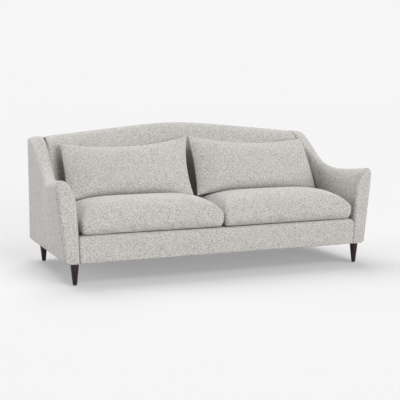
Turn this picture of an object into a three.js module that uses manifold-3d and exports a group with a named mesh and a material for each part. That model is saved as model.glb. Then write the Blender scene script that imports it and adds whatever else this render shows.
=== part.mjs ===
// Camelback sofa with two loose seat cushions and two loose back cushions.
// Millimetres, +X to the viewer's right, +Y to the rear, +Z up, standing on z = 0.

import * as THREE from 'three';
import { mergeVertices } from 'three/addons/utils/BufferGeometryUtils.js';
import Module from 'manifold-3d';

const wasm = await Module();
wasm.setup();

const { clamp, degToRad, lerp, smoothstep } = THREE.MathUtils;
const quarterTurn = Math.PI / 2;

// Body of the sofa, y measured from the front face of the arms
const bodyDepth = 982;
const undersideHeight = 132;
const armInnerHalf = 923;
const armFootThickness = 99;
const armFrontHeight = 633;
const armDip = 36;
const armDipHeight = armFrontHeight - armDip;
const shoulderRise = 236;
const shoulderHeight = armDipHeight + shoulderRise;
const crestRise = 79;
const crestHeight = shoulderHeight + crestRise;
const coverThickness = 6;
const fit = 0.3;
const overrun = 10;

// Upholstered back with its arched crest
const outsideBackThickness = 6;
const outsideBackSideInset = 20;
const outsideBackTopInset = 42;
const outsideBackCorner = 24;
const backRearFace = bodyDepth - outsideBackThickness - fit;
const crestHalf = armInnerHalf - fit;
const humpSharpnessShare = 0.2;
const backThickness = 337;
const backFootFront = bodyDepth - backThickness;
const backTopThickness = 127;
const backRake = backThickness - backTopThickness;
const backRakeDrop = 312;
const backRakeHeight = crestHeight - backRakeDrop;
const backRakeCurve = 1.6;
const backApexInset = 67;
const backApex = bodyDepth - backApexInset;
const backFrontDrop = 85;
const backRearDrop = 50;
const backPadClearance = 2;

// Scooped arm
const armSweepRearInset = 62;
const armSweepEnd = bodyDepth - armSweepRearInset;
const armSweepLength = 605;
const armSweepStart = armSweepEnd - armSweepLength;
const armDipOverlap = 65;
const armDipPlace = armSweepStart + armDipOverlap;
const armDipCurve = 1.5;
const armSweepCurve = 1.4;
const armFlareShare = 0.5253;
const armFlare = armFootThickness * armFlareShare;
const armFlareHold = 200;
const armFlareFade = 400;
const armFlareEnd = armFlareHold + armFlareFade;
const armInnerFlareShare = 0.54;
const armFrontApexShare = 0.69;
const armRearApexShare = 0.2;
const armFrontInnerDrop = 165;
const armRearInnerDrop = 25;
const armFrontOuterDrop = 45;
const armRearOuterDrop = 22;
const armFrontRoundDepth = 20;
const armFrontInnerRound = 22;
const armFrontOuterRound = 12;
const armFrontTopRound = 18;
const armRearRound = 20;
const armFootRound = 22;
const armWindowReach = 22;
const armWindowRear = bodyDepth - armWindowReach;
const armPadThickness = 14;
const armPadFront = 90;
const armPadRearInset = 5;
const armPadRear = backFootFront - armPadRearInset;
const armPadFootroom = 2.5;
const armPadHeadroom = 14;
const armPadClearance = 0.7;

// Front rail cover, its ends shaped to the rounded front corners of the arms
const railFace = 3;
const railCoverHeight = 165;
const railTop = undersideHeight + railCoverHeight;
const railFrontPadding = 12;
const railTopPadding = 17.5;
const railTopReach = 45;
const railTopRound = 24;
const railEndRound = 25;
const railEndReach = 11;
const railEndHalf = armInnerHalf + railEndReach;
const railToArmGap = 0.5;

// Seat plane, which falls to the rear
const seatLift = 3;
const seatFrontHeight = railTop + seatLift;
const seatPitch = degToRad(2.5);
const deckThickness = 20;
const deckFrontGap = 1.5;
const deckFront = railTopReach + deckFrontGap;
const deckRearGap = 9;
const deckRear = backFootFront - deckRearGap;
const deckSideGap = 5;
const deckHalf = armInnerHalf - deckSideGap;
const springWire = 4;
const springFront = 19;
const springsPerSeat = 4;
const springFirst = 120;
const springSideRoom = 128;
const springSpacing = (armInnerHalf - springSideRoom - springFirst) / (springsPerSeat - 1);
const springAmplitude = 20;
const springPitch = 88;
const tieWire = 3;
const tieOverhang = 26;
const tieShares = [0.34, 0.68];

// Seat cushions
const seatCushionInner = 3.5;
const seatCushionSideGap = 1.5;
const seatCushionOuter = armInnerHalf - seatCushionSideGap;
const seatCushionOverhang = 10;
const seatCushionRearGap = 11;
const seatCushionRear = backFootFront - seatCushionRearGap;
const seatCushionRim = 80;
const seatCushionCrown = 130;
const seatCushionFootInset = 45;
const seatCushionCorner = 46;
const seatCushionDrawIn = 5;
const seatCrownSideCurve = 5.5;
const seatCrownFrontCurve = 3.2;
const seatCrownRearCurve = 1.6;
const seatCushionHalfWidth = (seatCushionOuter - seatCushionInner) / 2;
const seatCushionHalfDepth = (seatCushionRear + seatCushionOverhang) / 2;
const seatCushionCentre = (seatCushionOuter + seatCushionInner) / 2;
const seatCushionMiddle = (seatCushionRear - seatCushionOverhang) / 2;
const cushionCoverThickness = 3;
const seatCoreInset = 11;
const zipHeight = 6;
const zipThickness = 3;
const seatZipLength = 480;
const seatZipHeight = 30;

// Back cushions, knife-edge pillows that lean on the back and stand on the seat cushions
const backCushionLean = degToRad(33);
const backCushionLength = 402;
const backCushionInner = 16;
const backCushionHeadGap = 35;
const backCushionFootShift = 3;
const backCushionHalf = (armInnerHalf - backCushionHeadGap - backCushionInner) / 2;
const backCushionHeadCentre = backCushionInner + backCushionHalf;
const backCushionFootCentre = backCushionHeadCentre + backCushionFootShift;
const backCushionEdge = 16;
const backCushionFrontBulge = 88;
const backCushionRearBulge = 108;
const backCushionHeadDip = 38;
const backCushionDrawIn = 9;
const backCushionFillCurve = 2.4;
const backCushionFillPower = 0.55;
const cushionContactGap = 0.4;
const backCoreInset = 12;
const backCoreEdge = 6;
const backZipLength = 420;

// Timber frame
const frameClearance = 3.3;
const frameFoot = undersideHeight + frameClearance;
const boardThickness = 28;
const frameSetback = 13;
const frameInner = armInnerHalf + frameSetback;
const postRoom = 50;
const postWidth = armFootThickness - postRoom;
const postDepth = 60;
const frontPostInset = 97;
const frontPostTop = armDipHeight - frontPostInset;
const frontPostStraight = 70;
const frontPostBend = undersideHeight + frontPostStraight;
const frontPostClearance = 10;
const rearPostInset = 97;
const rearPostFront = bodyDepth - rearPostInset;
const rearPostDepth = 70;
const rearPostTopInset = 43;
const rearPostTop = shoulderHeight - rearPostTopInset;
const railRise = 8;
const railFoot = undersideHeight + railRise;
const sideRailDrop = 55;
const sideRailHeight = railCoverHeight - sideRailDrop;
const sideRailTop = railFoot + sideRailHeight;
const frontRailFront = railFace + railFrontPadding + fit;
const frontRailRear = frontRailFront + boardThickness;
const rearSeatRailSetback = 17;
const rearSeatRailFront = backFootFront + rearSeatRailSetback;
const rearSeatRailRear = rearSeatRailFront + boardThickness;
const rearSeatRailRise = 18;
const rearSeatRailFoot = undersideHeight + rearSeatRailRise;
const springRear = rearSeatRailRear;
const backRailInset = 57;
const backRailFront = bodyDepth - backRailInset;
const backRailRear = backRailFront + boardThickness;
const stretcherHeight = 82;
const stretcherTop = railFoot + stretcherHeight;
const topRailSetback = 94;
const topRailFront = bodyDepth - topRailSetback;
const topRailRear = topRailFront + boardThickness;
const topRailDepth = 133;
const topRailFoot = shoulderHeight - topRailDepth;
const topRailInset = 30;
const stileWidth = 70;
const stileOverlap = 65;
const stileTop = topRailFoot + stileOverlap;
const armPanelThickness = 18;
const armPanelRise = 24;
const armPanelFoot = undersideHeight + armPanelRise;
const armPanelInset = 50;
const armPanelBorder = 110;
const cornerBlockWidth = 50;
const cornerBlockDepth = 66;
const rearBlockGap = 27;
const rearBlockDepth = 80;
const rearBlockFront = backRailFront - rearBlockGap - rearBlockDepth;
const blockDrop = 15;
const blockHeight = sideRailHeight - blockDrop;
const backFootRise = 12;
const backFootHeight = sideRailTop + backFootRise;
const backPadOverlap = 40;
const backPadTop = topRailFoot + backPadOverlap;
const backPadSideGap = 8;
const backPadHalf = armInnerHalf - backPadSideGap;

// Back webbing between the rear seat rail and the top rail
const webbingThickness = 2;
const webbingFootGap = 3;
const webbingFoot = stretcherTop + webbingFootGap;
const webbingOverlap = 16;
const webbingTop = topRailFoot + webbingOverlap;
const webbingSideGap = 23;
const webbingHalf = armInnerHalf - webbingSideGap;
const webbingStrap = 60;
const webbingColumns = 6;
const webbingRows = 3;

// Dust cover and legs
const dustSheetThickness = 1.5;
const dustSheetInset = 37;
const dustSheetHalf = armInnerHalf + armFootThickness - dustSheetInset;
const dustSheetFront = 16;
const dustSheetRearInset = 27;
const dustSheetRear = bodyDepth - dustSheetRearInset;
const frontLegReach = 33;
const frontLegInset = 36;
const frontLegPlace = [armInnerHalf + frontLegReach, frontLegInset];
const rearLegReach = 28;
const rearLegInset = 125;
const rearLegPlace = [armInnerHalf + rearLegReach, bodyDepth - rearLegInset];
const legTopRadius = 25;
const legFootRadius = 13.5;
const legHeadHeight = 14;
const legEdge = 2;
const plateSize = 40;
const plateThickness = 3;
const plateCorner = 5;
const boltRadius = 4;
const boltIntoLeg = 32;
const boltIntoFrame = 38;
const gliderHeight = 6;
const gliderRadius = 11;
const gliderEdge = 1.5;
const gliderPinRadius = 1.5;
const gliderPinHeight = 12;

// Facet counts
const roundSteps = 3;
const armSpans = 11;
const armColumns = 8;
const armTiers = 4;
const backColumns = 16;
const backRows = 6;
const backTiers = 5;
const backPadColumns = 4;
const seatColumns = 12;
const seatRows = 10;
const seatTiers = 3;
const coreColumns = 8;
const coreRows = 6;
const pillowColumns = 12;
const pillowTiers = 8;
const outlineSteps = 28;
const legSides = 14;
const boltSides = 10;
const settlePasses = 12;
const gliderSides = 12;
const springSteps = 2;

// Finishes
const boucle = { color: 0xcbc8c4, roughness: 0.95, metalness: 0 };
const wadding = { color: 0xe9e6df, roughness: 0.95, metalness: 0 };
const foam = { color: 0xe6d9b8, roughness: 0.9, metalness: 0 };
const lining = { color: 0x2e2e30, roughness: 0.95, metalness: 0 };
const hardwood = { color: 0xb98f62, roughness: 0.7, metalness: 0 };
const plywood = { color: 0xcaa877, roughness: 0.75, metalness: 0 };
const darkWood = { color: 0x2d1e21, roughness: 0.4, metalness: 0 };
const steel = { color: 0x9a9c9f, roughness: 0.4, metalness: 1 };
const springSteel = { color: 0x55585c, roughness: 0.45, metalness: 1 };
const webbing = { color: 0x8a7a5e, roughness: 0.9, metalness: 0 };
const nylon = { color: 0x26262a, roughness: 0.6, metalness: 0 };

const sides = [{ side: -1, label: 'left' }, { side: 1, label: 'right' }];

// Meshes and solids

function bare(geometry) {
  geometry.deleteAttribute('normal');
  geometry.deleteAttribute('uv');
  return mergeVertices(geometry);
}

function solidOf(geometry) {
  const whole = bare(geometry);
  return new wasm.Manifold(new wasm.Mesh({
    numProp: 3,
    vertProperties: whole.attributes.position.array,
    triVerts: Uint32Array.from(whole.index.array),
  }));
}

function geometryOf(solid) {
  const mesh = solid.getMesh();
  const geometry = new THREE.BufferGeometry();
  geometry.setAttribute('position', new THREE.BufferAttribute(mesh.vertProperties, mesh.numProp));
  geometry.setIndex(new THREE.BufferAttribute(mesh.triVerts, 1));
  return geometry;
}

function cutAway(geometry, cutters) {
  let solid = solidOf(geometry);
  for (const cutter of cutters) {
    solid = solid.subtract(solidOf(cutter));
  }
  return geometryOf(solid);
}

function addPiece(parent, name, geometry, finish) {
  const whole = bare(geometry);
  whole.computeVertexNormals();
  const mesh = new THREE.Mesh(whole, new THREE.MeshStandardMaterial(finish));
  mesh.name = name;
  parent.add(mesh);
  return mesh;
}

function block(xLow, xHigh, yLow, yHigh, zLow, zHigh) {
  const box = new THREE.BoxGeometry(xHigh - xLow, yHigh - yLow, zHigh - zLow);
  return box.translate((xLow + xHigh) / 2, (yLow + yHigh) / 2, (zLow + zHigh) / 2);
}

// Pieces with a hand are drawn for the right side and mirrored for the left
function handed(side, geometry) {
  if (side > 0) {
    return geometry;
  }
  const order = geometry.index.array;
  for (let i = 0; i < order.length; i += 3) {
    [order[i], order[i + 1]] = [order[i + 1], order[i]];
  }
  return geometry.scale(-1, 1, 1);
}

// A block on one side of the sofa, its x measured outwards from the centre
function sideBlock(side, inner, outer, yLow, yHigh, zLow, zHigh) {
  const low = Math.min(side * inner, side * outer);
  const high = Math.max(side * inner, side * outer);
  return block(low, high, yLow, yHigh, zLow, zHigh);
}

// A box of columns, rows and tiers whose corners are set one by one
function formedBox(columns, rows, tiers, place) {
  const box = new THREE.BoxGeometry(columns, rows, tiers, columns, rows, tiers);
  const corners = box.attributes.position;
  for (let i = 0; i < corners.count; i += 1) {
    const column = Math.round(corners.getX(i) + columns / 2);
    const row = Math.round(corners.getY(i) + rows / 2);
    const tier = Math.round(corners.getZ(i) + tiers / 2);
    const [x, y, z] = place(column, row, tier);
    corners.setXYZ(i, x, y, z);
  }
  return box;
}

// Extrusions of an outline: drawn in y and z and run along x, or drawn in x and z and run along y
function extrudeAlongX(shape, xLow, xHigh) {
  const geometry = new THREE.ExtrudeGeometry(shape, { depth: xHigh - xLow, bevelEnabled: false });
  const turn = new THREE.Matrix4().makeBasis(
    new THREE.Vector3(0, 1, 0),
    new THREE.Vector3(0, 0, 1),
    new THREE.Vector3(1, 0, 0),
  );
  return geometry.applyMatrix4(turn).translate(xLow, 0, 0);
}

function extrudeAlongY(shape, yLow, yHigh) {
  const geometry = new THREE.ExtrudeGeometry(shape, { depth: yHigh - yLow, bevelEnabled: false });
  const turn = new THREE.Matrix4().makeBasis(
    new THREE.Vector3(1, 0, 0),
    new THREE.Vector3(0, 0, 1),
    new THREE.Vector3(0, -1, 0),
  );
  return geometry.applyMatrix4(turn).translate(0, yHigh, 0);
}

function polygon(points) {
  return new THREE.Shape(points.map(([a, b]) => new THREE.Vector2(a, b)));
}

// Stations along an arm whose two ends are rounded: the place, and how much of each rounding is left
function roundedStations(start, end, startRound, endRound, spans) {
  const list = [];
  for (let i = 0; i < roundSteps; i += 1) {
    const angle = quarterTurn * (1 - i / roundSteps);
    list.push({ y: start + startRound * (1 - Math.sin(angle)), front: 1 - Math.cos(angle), rear: 0 });
  }
  for (let i = 0; i <= spans; i += 1) {
    list.push({ y: lerp(start + startRound, end - endRound, i / spans), front: 0, rear: 0 });
  }
  for (let i = 1; i <= roundSteps; i += 1) {
    const angle = quarterTurn * (i / roundSteps);
    list.push({ y: end - endRound * (1 - Math.sin(angle)), front: 0, rear: 1 - Math.cos(angle) });
  }
  return list;
}

// Arms

function armSweep(y) {
  const share = clamp((y - armSweepStart) / (armSweepEnd - armSweepStart), 0, 1);
  return smoothstep(Math.pow(share, armSweepCurve), 0, 1);
}

function armCrest(y) {
  const rise = Math.pow(Math.max(0, 1 - y / armDipPlace), armDipCurve);
  const front = armDipHeight + (armFrontHeight - armDipHeight) * rise;
  return front + (shoulderHeight - armDipHeight) * armSweep(y);
}

function armLean(y, z) {
  const hold = 1 - smoothstep(y, armFlareHold, armFlareEnd);
  return armFlare * hold * (z - undersideHeight) / (armFrontHeight - undersideHeight);
}

// Inside face of the arm's inner wall
function armSkin(y, z) {
  return armInnerHalf + coverThickness + armInnerFlareShare * armLean(y, z);
}

// How far the rounded foot of the outer side is drawn in at a height
function armFootDraw(z, inset) {
  const radius = armFootRound - inset;
  const reach = clamp((armFootRound - (z - undersideHeight)) / radius, 0, 1);
  return radius * (1 - Math.sqrt(1 - reach * reach));
}

function armForm(inset, foot) {
  const frontRound = armFrontRoundDepth - inset;
  const rearRound = armRearRound - inset;
  const stations = roundedStations(inset, backRearFace - inset, frontRound, rearRound, armSpans);
  const tierHeights = [foot];
  for (let i = 1; i < armTiers; i += 1) {
    const angle = quarterTurn * i / (armTiers - 1);
    tierHeights.push(undersideHeight + armFootRound * (1 - Math.cos(angle)));
  }
  return formedBox(armColumns, stations.length - 1, armTiers, (column, row, tier) => {
    const { y, front, rear } = stations[row];
    const sweep = armSweep(y);
    const turn = 2 * column / armColumns - 1;
    const angle = quarterTurn * Math.abs(turn);
    const apex = lerp(armFrontApexShare, armRearApexShare, sweep);
    const innerDrop = lerp(armFrontInnerDrop, armRearInnerDrop, sweep) - inset;
    const outerDrop = lerp(armFrontOuterDrop, armRearOuterDrop, sweep) - inset;
    const share = turn < 0 ? apex * (1 - Math.sin(angle)) : lerp(apex, 1, Math.sin(angle));
    const drop = (turn < 0 ? innerDrop : outerDrop) * (1 - Math.cos(angle));
    const crest = armCrest(y) - inset - front * armFrontTopRound - rear * rearRound;
    const z = tier === armTiers ? crest - drop : tierHeights[tier];
    const lean = armLean(y, z);
    const inner = armInnerHalf + inset + armInnerFlareShare * lean + front * armFrontInnerRound;
    const outerDraw = front * armFrontOuterRound + rear * rearRound + armFootDraw(z, inset);
    const outer = armInnerHalf + armFootThickness - inset + lean - outerDraw;
    return [lerp(inner, outer, share), y, z];
  });
}

// The arm's inner wall is open below this height, where the seat frame passes through it
function seatWindowTop() {
  return underSprings(frontRailRear) + fit;
}

function addArm(side, label) {
  const windowInner = armInnerHalf - overrun;
  const windowOuter = armInnerHalf + armWindowReach;
  const windowFoot = undersideHeight - overrun;
  const railWindowTop = humpLine(crestHalf) - topRailInset + fit;
  const cover = cutAway(armForm(0, undersideHeight), [
    armForm(coverThickness, windowFoot),
    block(windowInner, windowOuter, frontRailFront - fit, armWindowRear, windowFoot, seatWindowTop()),
    block(windowInner, windowOuter, topRailFront - fit, armWindowRear, windowFoot, railWindowTop),
  ]);
  addPiece(sofa, `arm_cover_${label}`, handed(side, cover), boucle);

  const padRows = armSpans - roundSteps;
  const padTiers = armTiers;
  const pad = formedBox(1, padRows, padTiers, (column, row, tier) => {
    const y = lerp(armPadFront, armPadRear, row / padRows);
    const innerDrop = lerp(armFrontInnerDrop, armRearInnerDrop, armSweep(y));
    const z = lerp(seatWindowTop() + armPadFootroom, armCrest(y) - innerDrop - armPadHeadroom, tier / padTiers);
    return [armSkin(y, z) + armPadClearance + column * armPadThickness, y, z];
  });
  addPiece(sofa, `arm_pad_${label}`, handed(side, pad), foam);
}

// Back

function humpLine(x) {
  const share = Math.abs(x) / crestHalf;
  const bend = (value) => Math.hypot(value, humpSharpnessShare) - humpSharpnessShare;
  return lerp(crestHeight, shoulderHeight, bend(share) / bend(1));
}

function backFront(z) {
  const share = Math.max(0, (z - backFootHeight) / backRakeHeight);
  return backFootFront + backRake * Math.pow(share, backRakeCurve);
}

function backForm(inset, half, extraFoot) {
  return formedBox(backColumns, backRows, backTiers, (column, row, tier) => {
    const x = half * (2 * column / backColumns - 1);
    const crest = humpLine(x) - inset;
    const turn = 2 * row / backRows - 1;
    const angle = quarterTurn * Math.abs(turn);
    const frontDrop = backFrontDrop - inset;
    const rearDrop = backRearDrop - inset;
    const rear = backRearFace - inset;
    const faceFront = backFront(crest - frontDrop) + inset;
    const apex = (backApex - faceFront) / (rear - faceFront);
    const share = turn < 0 ? apex * (1 - Math.sin(angle)) : lerp(apex, 1, Math.sin(angle));
    const drop = (turn < 0 ? frontDrop : rearDrop) * (1 - Math.cos(angle));
    const foot = lerp(backFootHeight, undersideHeight, share) - extraFoot;
    const z = lerp(foot, crest - drop, tier / backTiers);
    const front = backFront(Math.min(z, crest - frontDrop)) + inset;
    return [x, lerp(front, rear, share), z];
  });
}

// The faceted front face of the back cover
function backFacet(x, z) {
  const top = humpLine(x) - backFrontDrop;
  const place = backTiers * clamp((z - backFootHeight) / (top - backFootHeight), 0, 1);
  const tier = Math.min(Math.floor(place), backTiers - 1);
  const low = backFront(lerp(backFootHeight, top, tier / backTiers));
  const high = backFront(lerp(backFootHeight, top, (tier + 1) / backTiers));
  return lerp(low, high, place - tier);
}

function webbingFace(z) {
  const low = rearSeatRailRear + fit;
  const high = topRailFront - fit - webbingThickness;
  return lerp(low, high, (z - webbingFoot) / (webbingTop - webbingFoot));
}

function addBack() {
  const inside = crestHalf - coverThickness;
  const outside = crestHalf + overrun;
  const low = undersideHeight - overrun;
  const topRailEnd = humpLine(inside) - topRailInset;
  const railOpeningTop = Math.max(sideRailTop, underSprings(rearSeatRailRear)) + fit;
  const cutters = [backForm(coverThickness, inside, overrun)];
  for (const { side } of sides) {
    cutters.push(
      sideBlock(side, inside, outside, topRailFront - fit, topRailRear + fit, low, topRailEnd + fit),
      sideBlock(side, inside, outside, backFootFront - overrun, backRearFace - coverThickness,
        low, railOpeningTop),
    );
  }
  addPiece(sofa, 'back_cover', cutAway(backForm(0, crestHalf, 0), cutters), boucle);

  const padInset = coverThickness + backPadClearance;
  const pad = formedBox(backPadColumns, 1, backTiers, (column, row, tier) => {
    const x = lerp(-backPadHalf, backPadHalf, column / backPadColumns);
    const z = lerp(backFootHeight + backPadClearance, backPadTop, tier / backTiers);
    const rear = Math.min(webbingFace(z) - fit, topRailFront - fit);
    return [x, row === 0 ? backFront(z) + padInset : rear, z];
  });
  addPiece(sofa, 'back_pad', pad, foam);

  const rise = webbingTop - webbingFoot;
  const run = webbingFace(webbingTop) - webbingFace(webbingFoot);
  const length = Math.hypot(rise, run);
  const net = block(-webbingHalf, webbingHalf, 0, webbingThickness, 0, length);
  const cellWidth = (2 * webbingHalf - webbingStrap) / webbingColumns;
  const cellHeight = (length - webbingStrap) / webbingRows;
  const cells = [];
  for (let i = 0; i < webbingColumns; i += 1) {
    for (let j = 0; j < webbingRows; j += 1) {
      const left = -webbingHalf + webbingStrap + i * cellWidth;
      const low = webbingStrap + j * cellHeight;
      cells.push(block(left, left + cellWidth - webbingStrap, -overrun, overrun, low, low + cellHeight - webbingStrap));
    }
  }
  const straps = addPiece(sofa, 'back_webbing', cutAway(net, cells), webbing);
  straps.position.set(0, webbingFace(webbingFoot), webbingFoot);
  straps.rotation.x = -Math.atan2(run, rise);

  const half = armInnerHalf + armFootThickness - outsideBackSideInset;
  const outline = [];
  outline.push([-half, undersideHeight], [half, undersideHeight]);
  const shoulder = shoulderHeight - outsideBackTopInset;
  outline.push([half, shoulder - outsideBackCorner], [half - outsideBackCorner, shoulder]);
  for (let i = outlineSteps; i >= 0; i -= 1) {
    const x = crestHalf * (2 * i / outlineSteps - 1);
    outline.push([x, humpLine(x) - outsideBackTopInset]);
  }
  outline.push([outsideBackCorner - half, shoulder], [-half, shoulder - outsideBackCorner]);
  const panel = extrudeAlongY(polygon(outline), bodyDepth - outsideBackThickness, bodyDepth);
  addPiece(sofa, 'outside_back', panel, boucle);
}

// Front rail cover, the border below the seat cushions

function addRailCover() {
  const section = new THREE.Shape();
  section.moveTo(railFace, undersideHeight);
  section.lineTo(railFace + railFrontPadding, undersideHeight);
  section.lineTo(railFace + railFrontPadding, railTop - railTopPadding);
  section.lineTo(railTopReach, railTop - railTopPadding);
  section.lineTo(railTopReach, railTop);
  section.lineTo(railFace + railTopRound, railTop);
  section.absarc(railFace + railTopRound, railTop - railTopRound, railTopRound, quarterTurn, Math.PI, false);
  const outline = new THREE.Shape();
  outline.moveTo(-railEndHalf, undersideHeight - overrun);
  outline.lineTo(railEndHalf, undersideHeight - overrun);
  outline.lineTo(railEndHalf, railTop - railEndRound);
  outline.absarc(railEndHalf - railEndRound, railTop - railEndRound, railEndRound, 0, quarterTurn, false);
  outline.absarc(railEndRound - railEndHalf, railTop - railEndRound, railEndRound, quarterTurn, Math.PI, false);
  const blank = solidOf(extrudeAlongX(section, -railEndHalf, railEndHalf));
  const ends = solidOf(extrudeAlongY(outline, -overrun, railTopReach + overrun));
  let cover = blank.intersect(ends);
  for (const { side } of sides) {
    cover = cover.subtract(solidOf(handed(side, armForm(-railToArmGap, undersideHeight - overrun))));
  }
  addPiece(sofa, 'front_rail_cover', geometryOf(cover), boucle);
}

// Timber frame

function underSprings(y) {
  const drop = deckThickness + springWire + 2 * fit;
  return seatFrontHeight - y * Math.tan(seatPitch) - drop / Math.cos(seatPitch) - fit;
}

function addFrame() {
  const railHalf = frameInner - fit;
  const frontRail = block(-railHalf, railHalf, frontRailFront, frontRailRear, railFoot, underSprings(frontRailRear));
  addPiece(sofa, 'front_rail', frontRail, hardwood);
  const rearRailTop = underSprings(rearSeatRailRear);
  const rearSeatRail = block(-railHalf, railHalf, rearSeatRailFront, rearSeatRailRear, rearSeatRailFoot, rearRailTop);
  addPiece(sofa, 'rear_seat_rail', rearSeatRail, hardwood);
  const backRail = block(-railHalf, railHalf, backRailFront, backRailRear, railFoot, sideRailTop);
  addPiece(sofa, 'back_rail', backRail, hardwood);
  const stretcher = cutAway(
    block(-boardThickness / 2, boardThickness / 2, frontRailRear + fit, backRailFront - fit, railFoot, stretcherTop),
    [block(-boardThickness, boardThickness, rearSeatRailFront - fit, rearSeatRailRear + fit,
      rearSeatRailFoot - fit, stretcherTop + overrun)],
  );
  addPiece(sofa, 'centre_stretcher', stretcher, hardwood);

  const topRail = [[-railHalf, topRailFoot], [railHalf, topRailFoot]];
  for (let i = outlineSteps; i >= 0; i -= 1) {
    const x = railHalf * (2 * i / outlineSteps - 1);
    topRail.push([x, humpLine(x) - topRailInset]);
  }
  addPiece(sofa, 'top_rail', extrudeAlongY(polygon(topRail), topRailFront, topRailRear), hardwood);
  const stileFront = topRailRear + fit;
  const stile = block(-stileWidth / 2, stileWidth / 2, stileFront, stileFront + boardThickness,
    sideRailTop + fit, stileTop);
  addPiece(sofa, 'back_stile', stile, hardwood);

  for (const { side, label } of sides) {
    const frontPostRear = frontRailFront + postDepth;
    const frontPost = polygon([
      [side * frameInner, frameFoot],
      [side * (frameInner + postWidth), frameFoot],
      [side * (frameInner + postWidth), frontPostTop],
      [side * (armSkin(frontRailFront, frontPostTop) + frontPostClearance), frontPostTop],
      [side * frameInner, frontPostBend],
    ]);
    const holeSize = boltRadius + 2 * fit;
    const [frontLegX, frontLegY] = frontLegPlace;
    const [rearLegX, rearLegY] = rearLegPlace;
    const frontHole = boltHole(side * frontLegX, frontLegY, holeSize);
    const rearHole = boltHole(side * rearLegX, rearLegY, holeSize);
    const post = extrudeAlongY(frontPost, frontRailFront, frontPostRear);
    addPiece(sofa, `front_post_${label}`, cutAway(post, [frontHole]), hardwood);
    const rearPost = sideBlock(side, frameInner, frameInner + postWidth, rearPostFront,
      rearPostFront + rearPostDepth, frameFoot, rearPostTop);
    addPiece(sofa, `rear_post_${label}`, rearPost, hardwood);
    const sideRail = sideBlock(side, frameInner, frameInner + boardThickness, frontPostRear + fit,
      rearPostFront - fit, frameFoot, sideRailTop);
    addPiece(sofa, `side_rail_${label}`, cutAway(sideRail, [rearHole]), hardwood);
    const frontBlock = sideBlock(side, frameInner - fit - cornerBlockWidth, frameInner - fit,
      frontRailRear + fit, frontRailRear + fit + cornerBlockDepth, railFoot, railFoot + blockHeight);
    addPiece(sofa, `front_corner_block_${label}`, frontBlock, hardwood);
    const rearBlock = sideBlock(side, frameInner - fit - cornerBlockWidth, frameInner - fit,
      rearBlockFront, rearBlockFront + rearBlockDepth, railFoot, railFoot + blockHeight);
    addPiece(sofa, `rear_corner_block_${label}`, rearBlock, hardwood);
    addArmPanel(side, label);
  }
}

function boltHole(x, y, radius) {
  const hole = new THREE.CylinderGeometry(radius, radius, boltIntoFrame + overrun, boltSides);
  hole.rotateX(quarterTurn);
  return hole.translate(x, y, frameFoot + fit + (boltIntoFrame - overrun) / 2);
}

// Scooped plywood panel inside each arm, with a window cut out of it
function addArmPanel(side, label) {
  const front = frontRailFront;
  const rear = rearPostFront + rearPostDepth;
  const outline = [[front, armPanelFoot], [rear, armPanelFoot]];
  for (let i = outlineSteps; i >= 0; i -= 1) {
    const y = lerp(front, rear, i / outlineSteps);
    outline.push([y, armCrest(y) - armPanelInset]);
  }
  const shape = polygon(outline);
  const windowFoot = armPanelFoot + armPanelBorder;
  const windowFront = front + armPanelBorder;
  const windowRear = rear - armPanelBorder;
  const opening = [[windowFront, windowFoot]];
  for (let i = 0; i <= outlineSteps / 2; i += 1) {
    const y = lerp(windowFront, windowRear, i / (outlineSteps / 2));
    opening.push([y, armCrest(y) - armPanelInset - armPanelBorder]);
  }
  opening.push([windowRear, windowFoot]);
  shape.holes.push(new THREE.Path(opening.map(([a, b]) => new THREE.Vector2(a, b))));
  const inner = frameInner + postWidth + fit;
  const low = side > 0 ? inner : -inner - armPanelThickness;
  const panel = extrudeAlongX(shape, low, low + armPanelThickness);
  addPiece(sofa, `arm_panel_${label}`, panel, plywood);
}

// Seat: springs, padded deck and cushions, all square to the seat plane

function waveOutline(length) {
  const halfWaves = Math.round(length / (springPitch / 2));
  const steps = halfWaves * springSteps;
  const left = [];
  const right = [];
  const place = (i) => {
    const share = clamp(i / steps, 0, 1);
    return new THREE.Vector2(springAmplitude * Math.sin(Math.PI * halfWaves * share), length * share);
  };
  for (let i = 0; i <= steps; i += 1) {
    const along = place(i + 1).sub(place(i - 1)).normalize();
    const across = new THREE.Vector2(along.y, -along.x).multiplyScalar(springWire / 2);
    right.push(place(i).add(across));
    left.unshift(place(i).sub(across));
  }
  return new THREE.Shape([...right, ...left]);
}

function addSprings(side, label) {
  const top = -deckThickness - 2 * fit;
  const length = springRear - springFront;
  const settings = { depth: springWire, bevelEnabled: false };
  const wires = [];
  for (let i = 0; i < springsPerSeat; i += 1) {
    const wave = new THREE.ExtrudeGeometry(waveOutline(length), settings);
    const x = side * (springFirst + i * springSpacing);
    wires.push(solidOf(wave.translate(x, springFront, top - springWire)));
  }
  const tieInner = springFirst - tieOverhang;
  const tieOuter = springFirst + (springsPerSeat - 1) * springSpacing + tieOverhang;
  for (const share of tieShares) {
    const y = lerp(springFront, springRear, share);
    wires.push(solidOf(sideBlock(side, tieInner, tieOuter, y - tieWire / 2, y + tieWire / 2,
      top - springWire / 2 - tieWire / 2, top - springWire / 2 + tieWire / 2)));
  }
  const deck = wires.reduce((whole, wire) => whole.add(wire));
  addPiece(seat, `seat_springs_${label}`, geometryOf(deck), springSteel);
}

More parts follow.
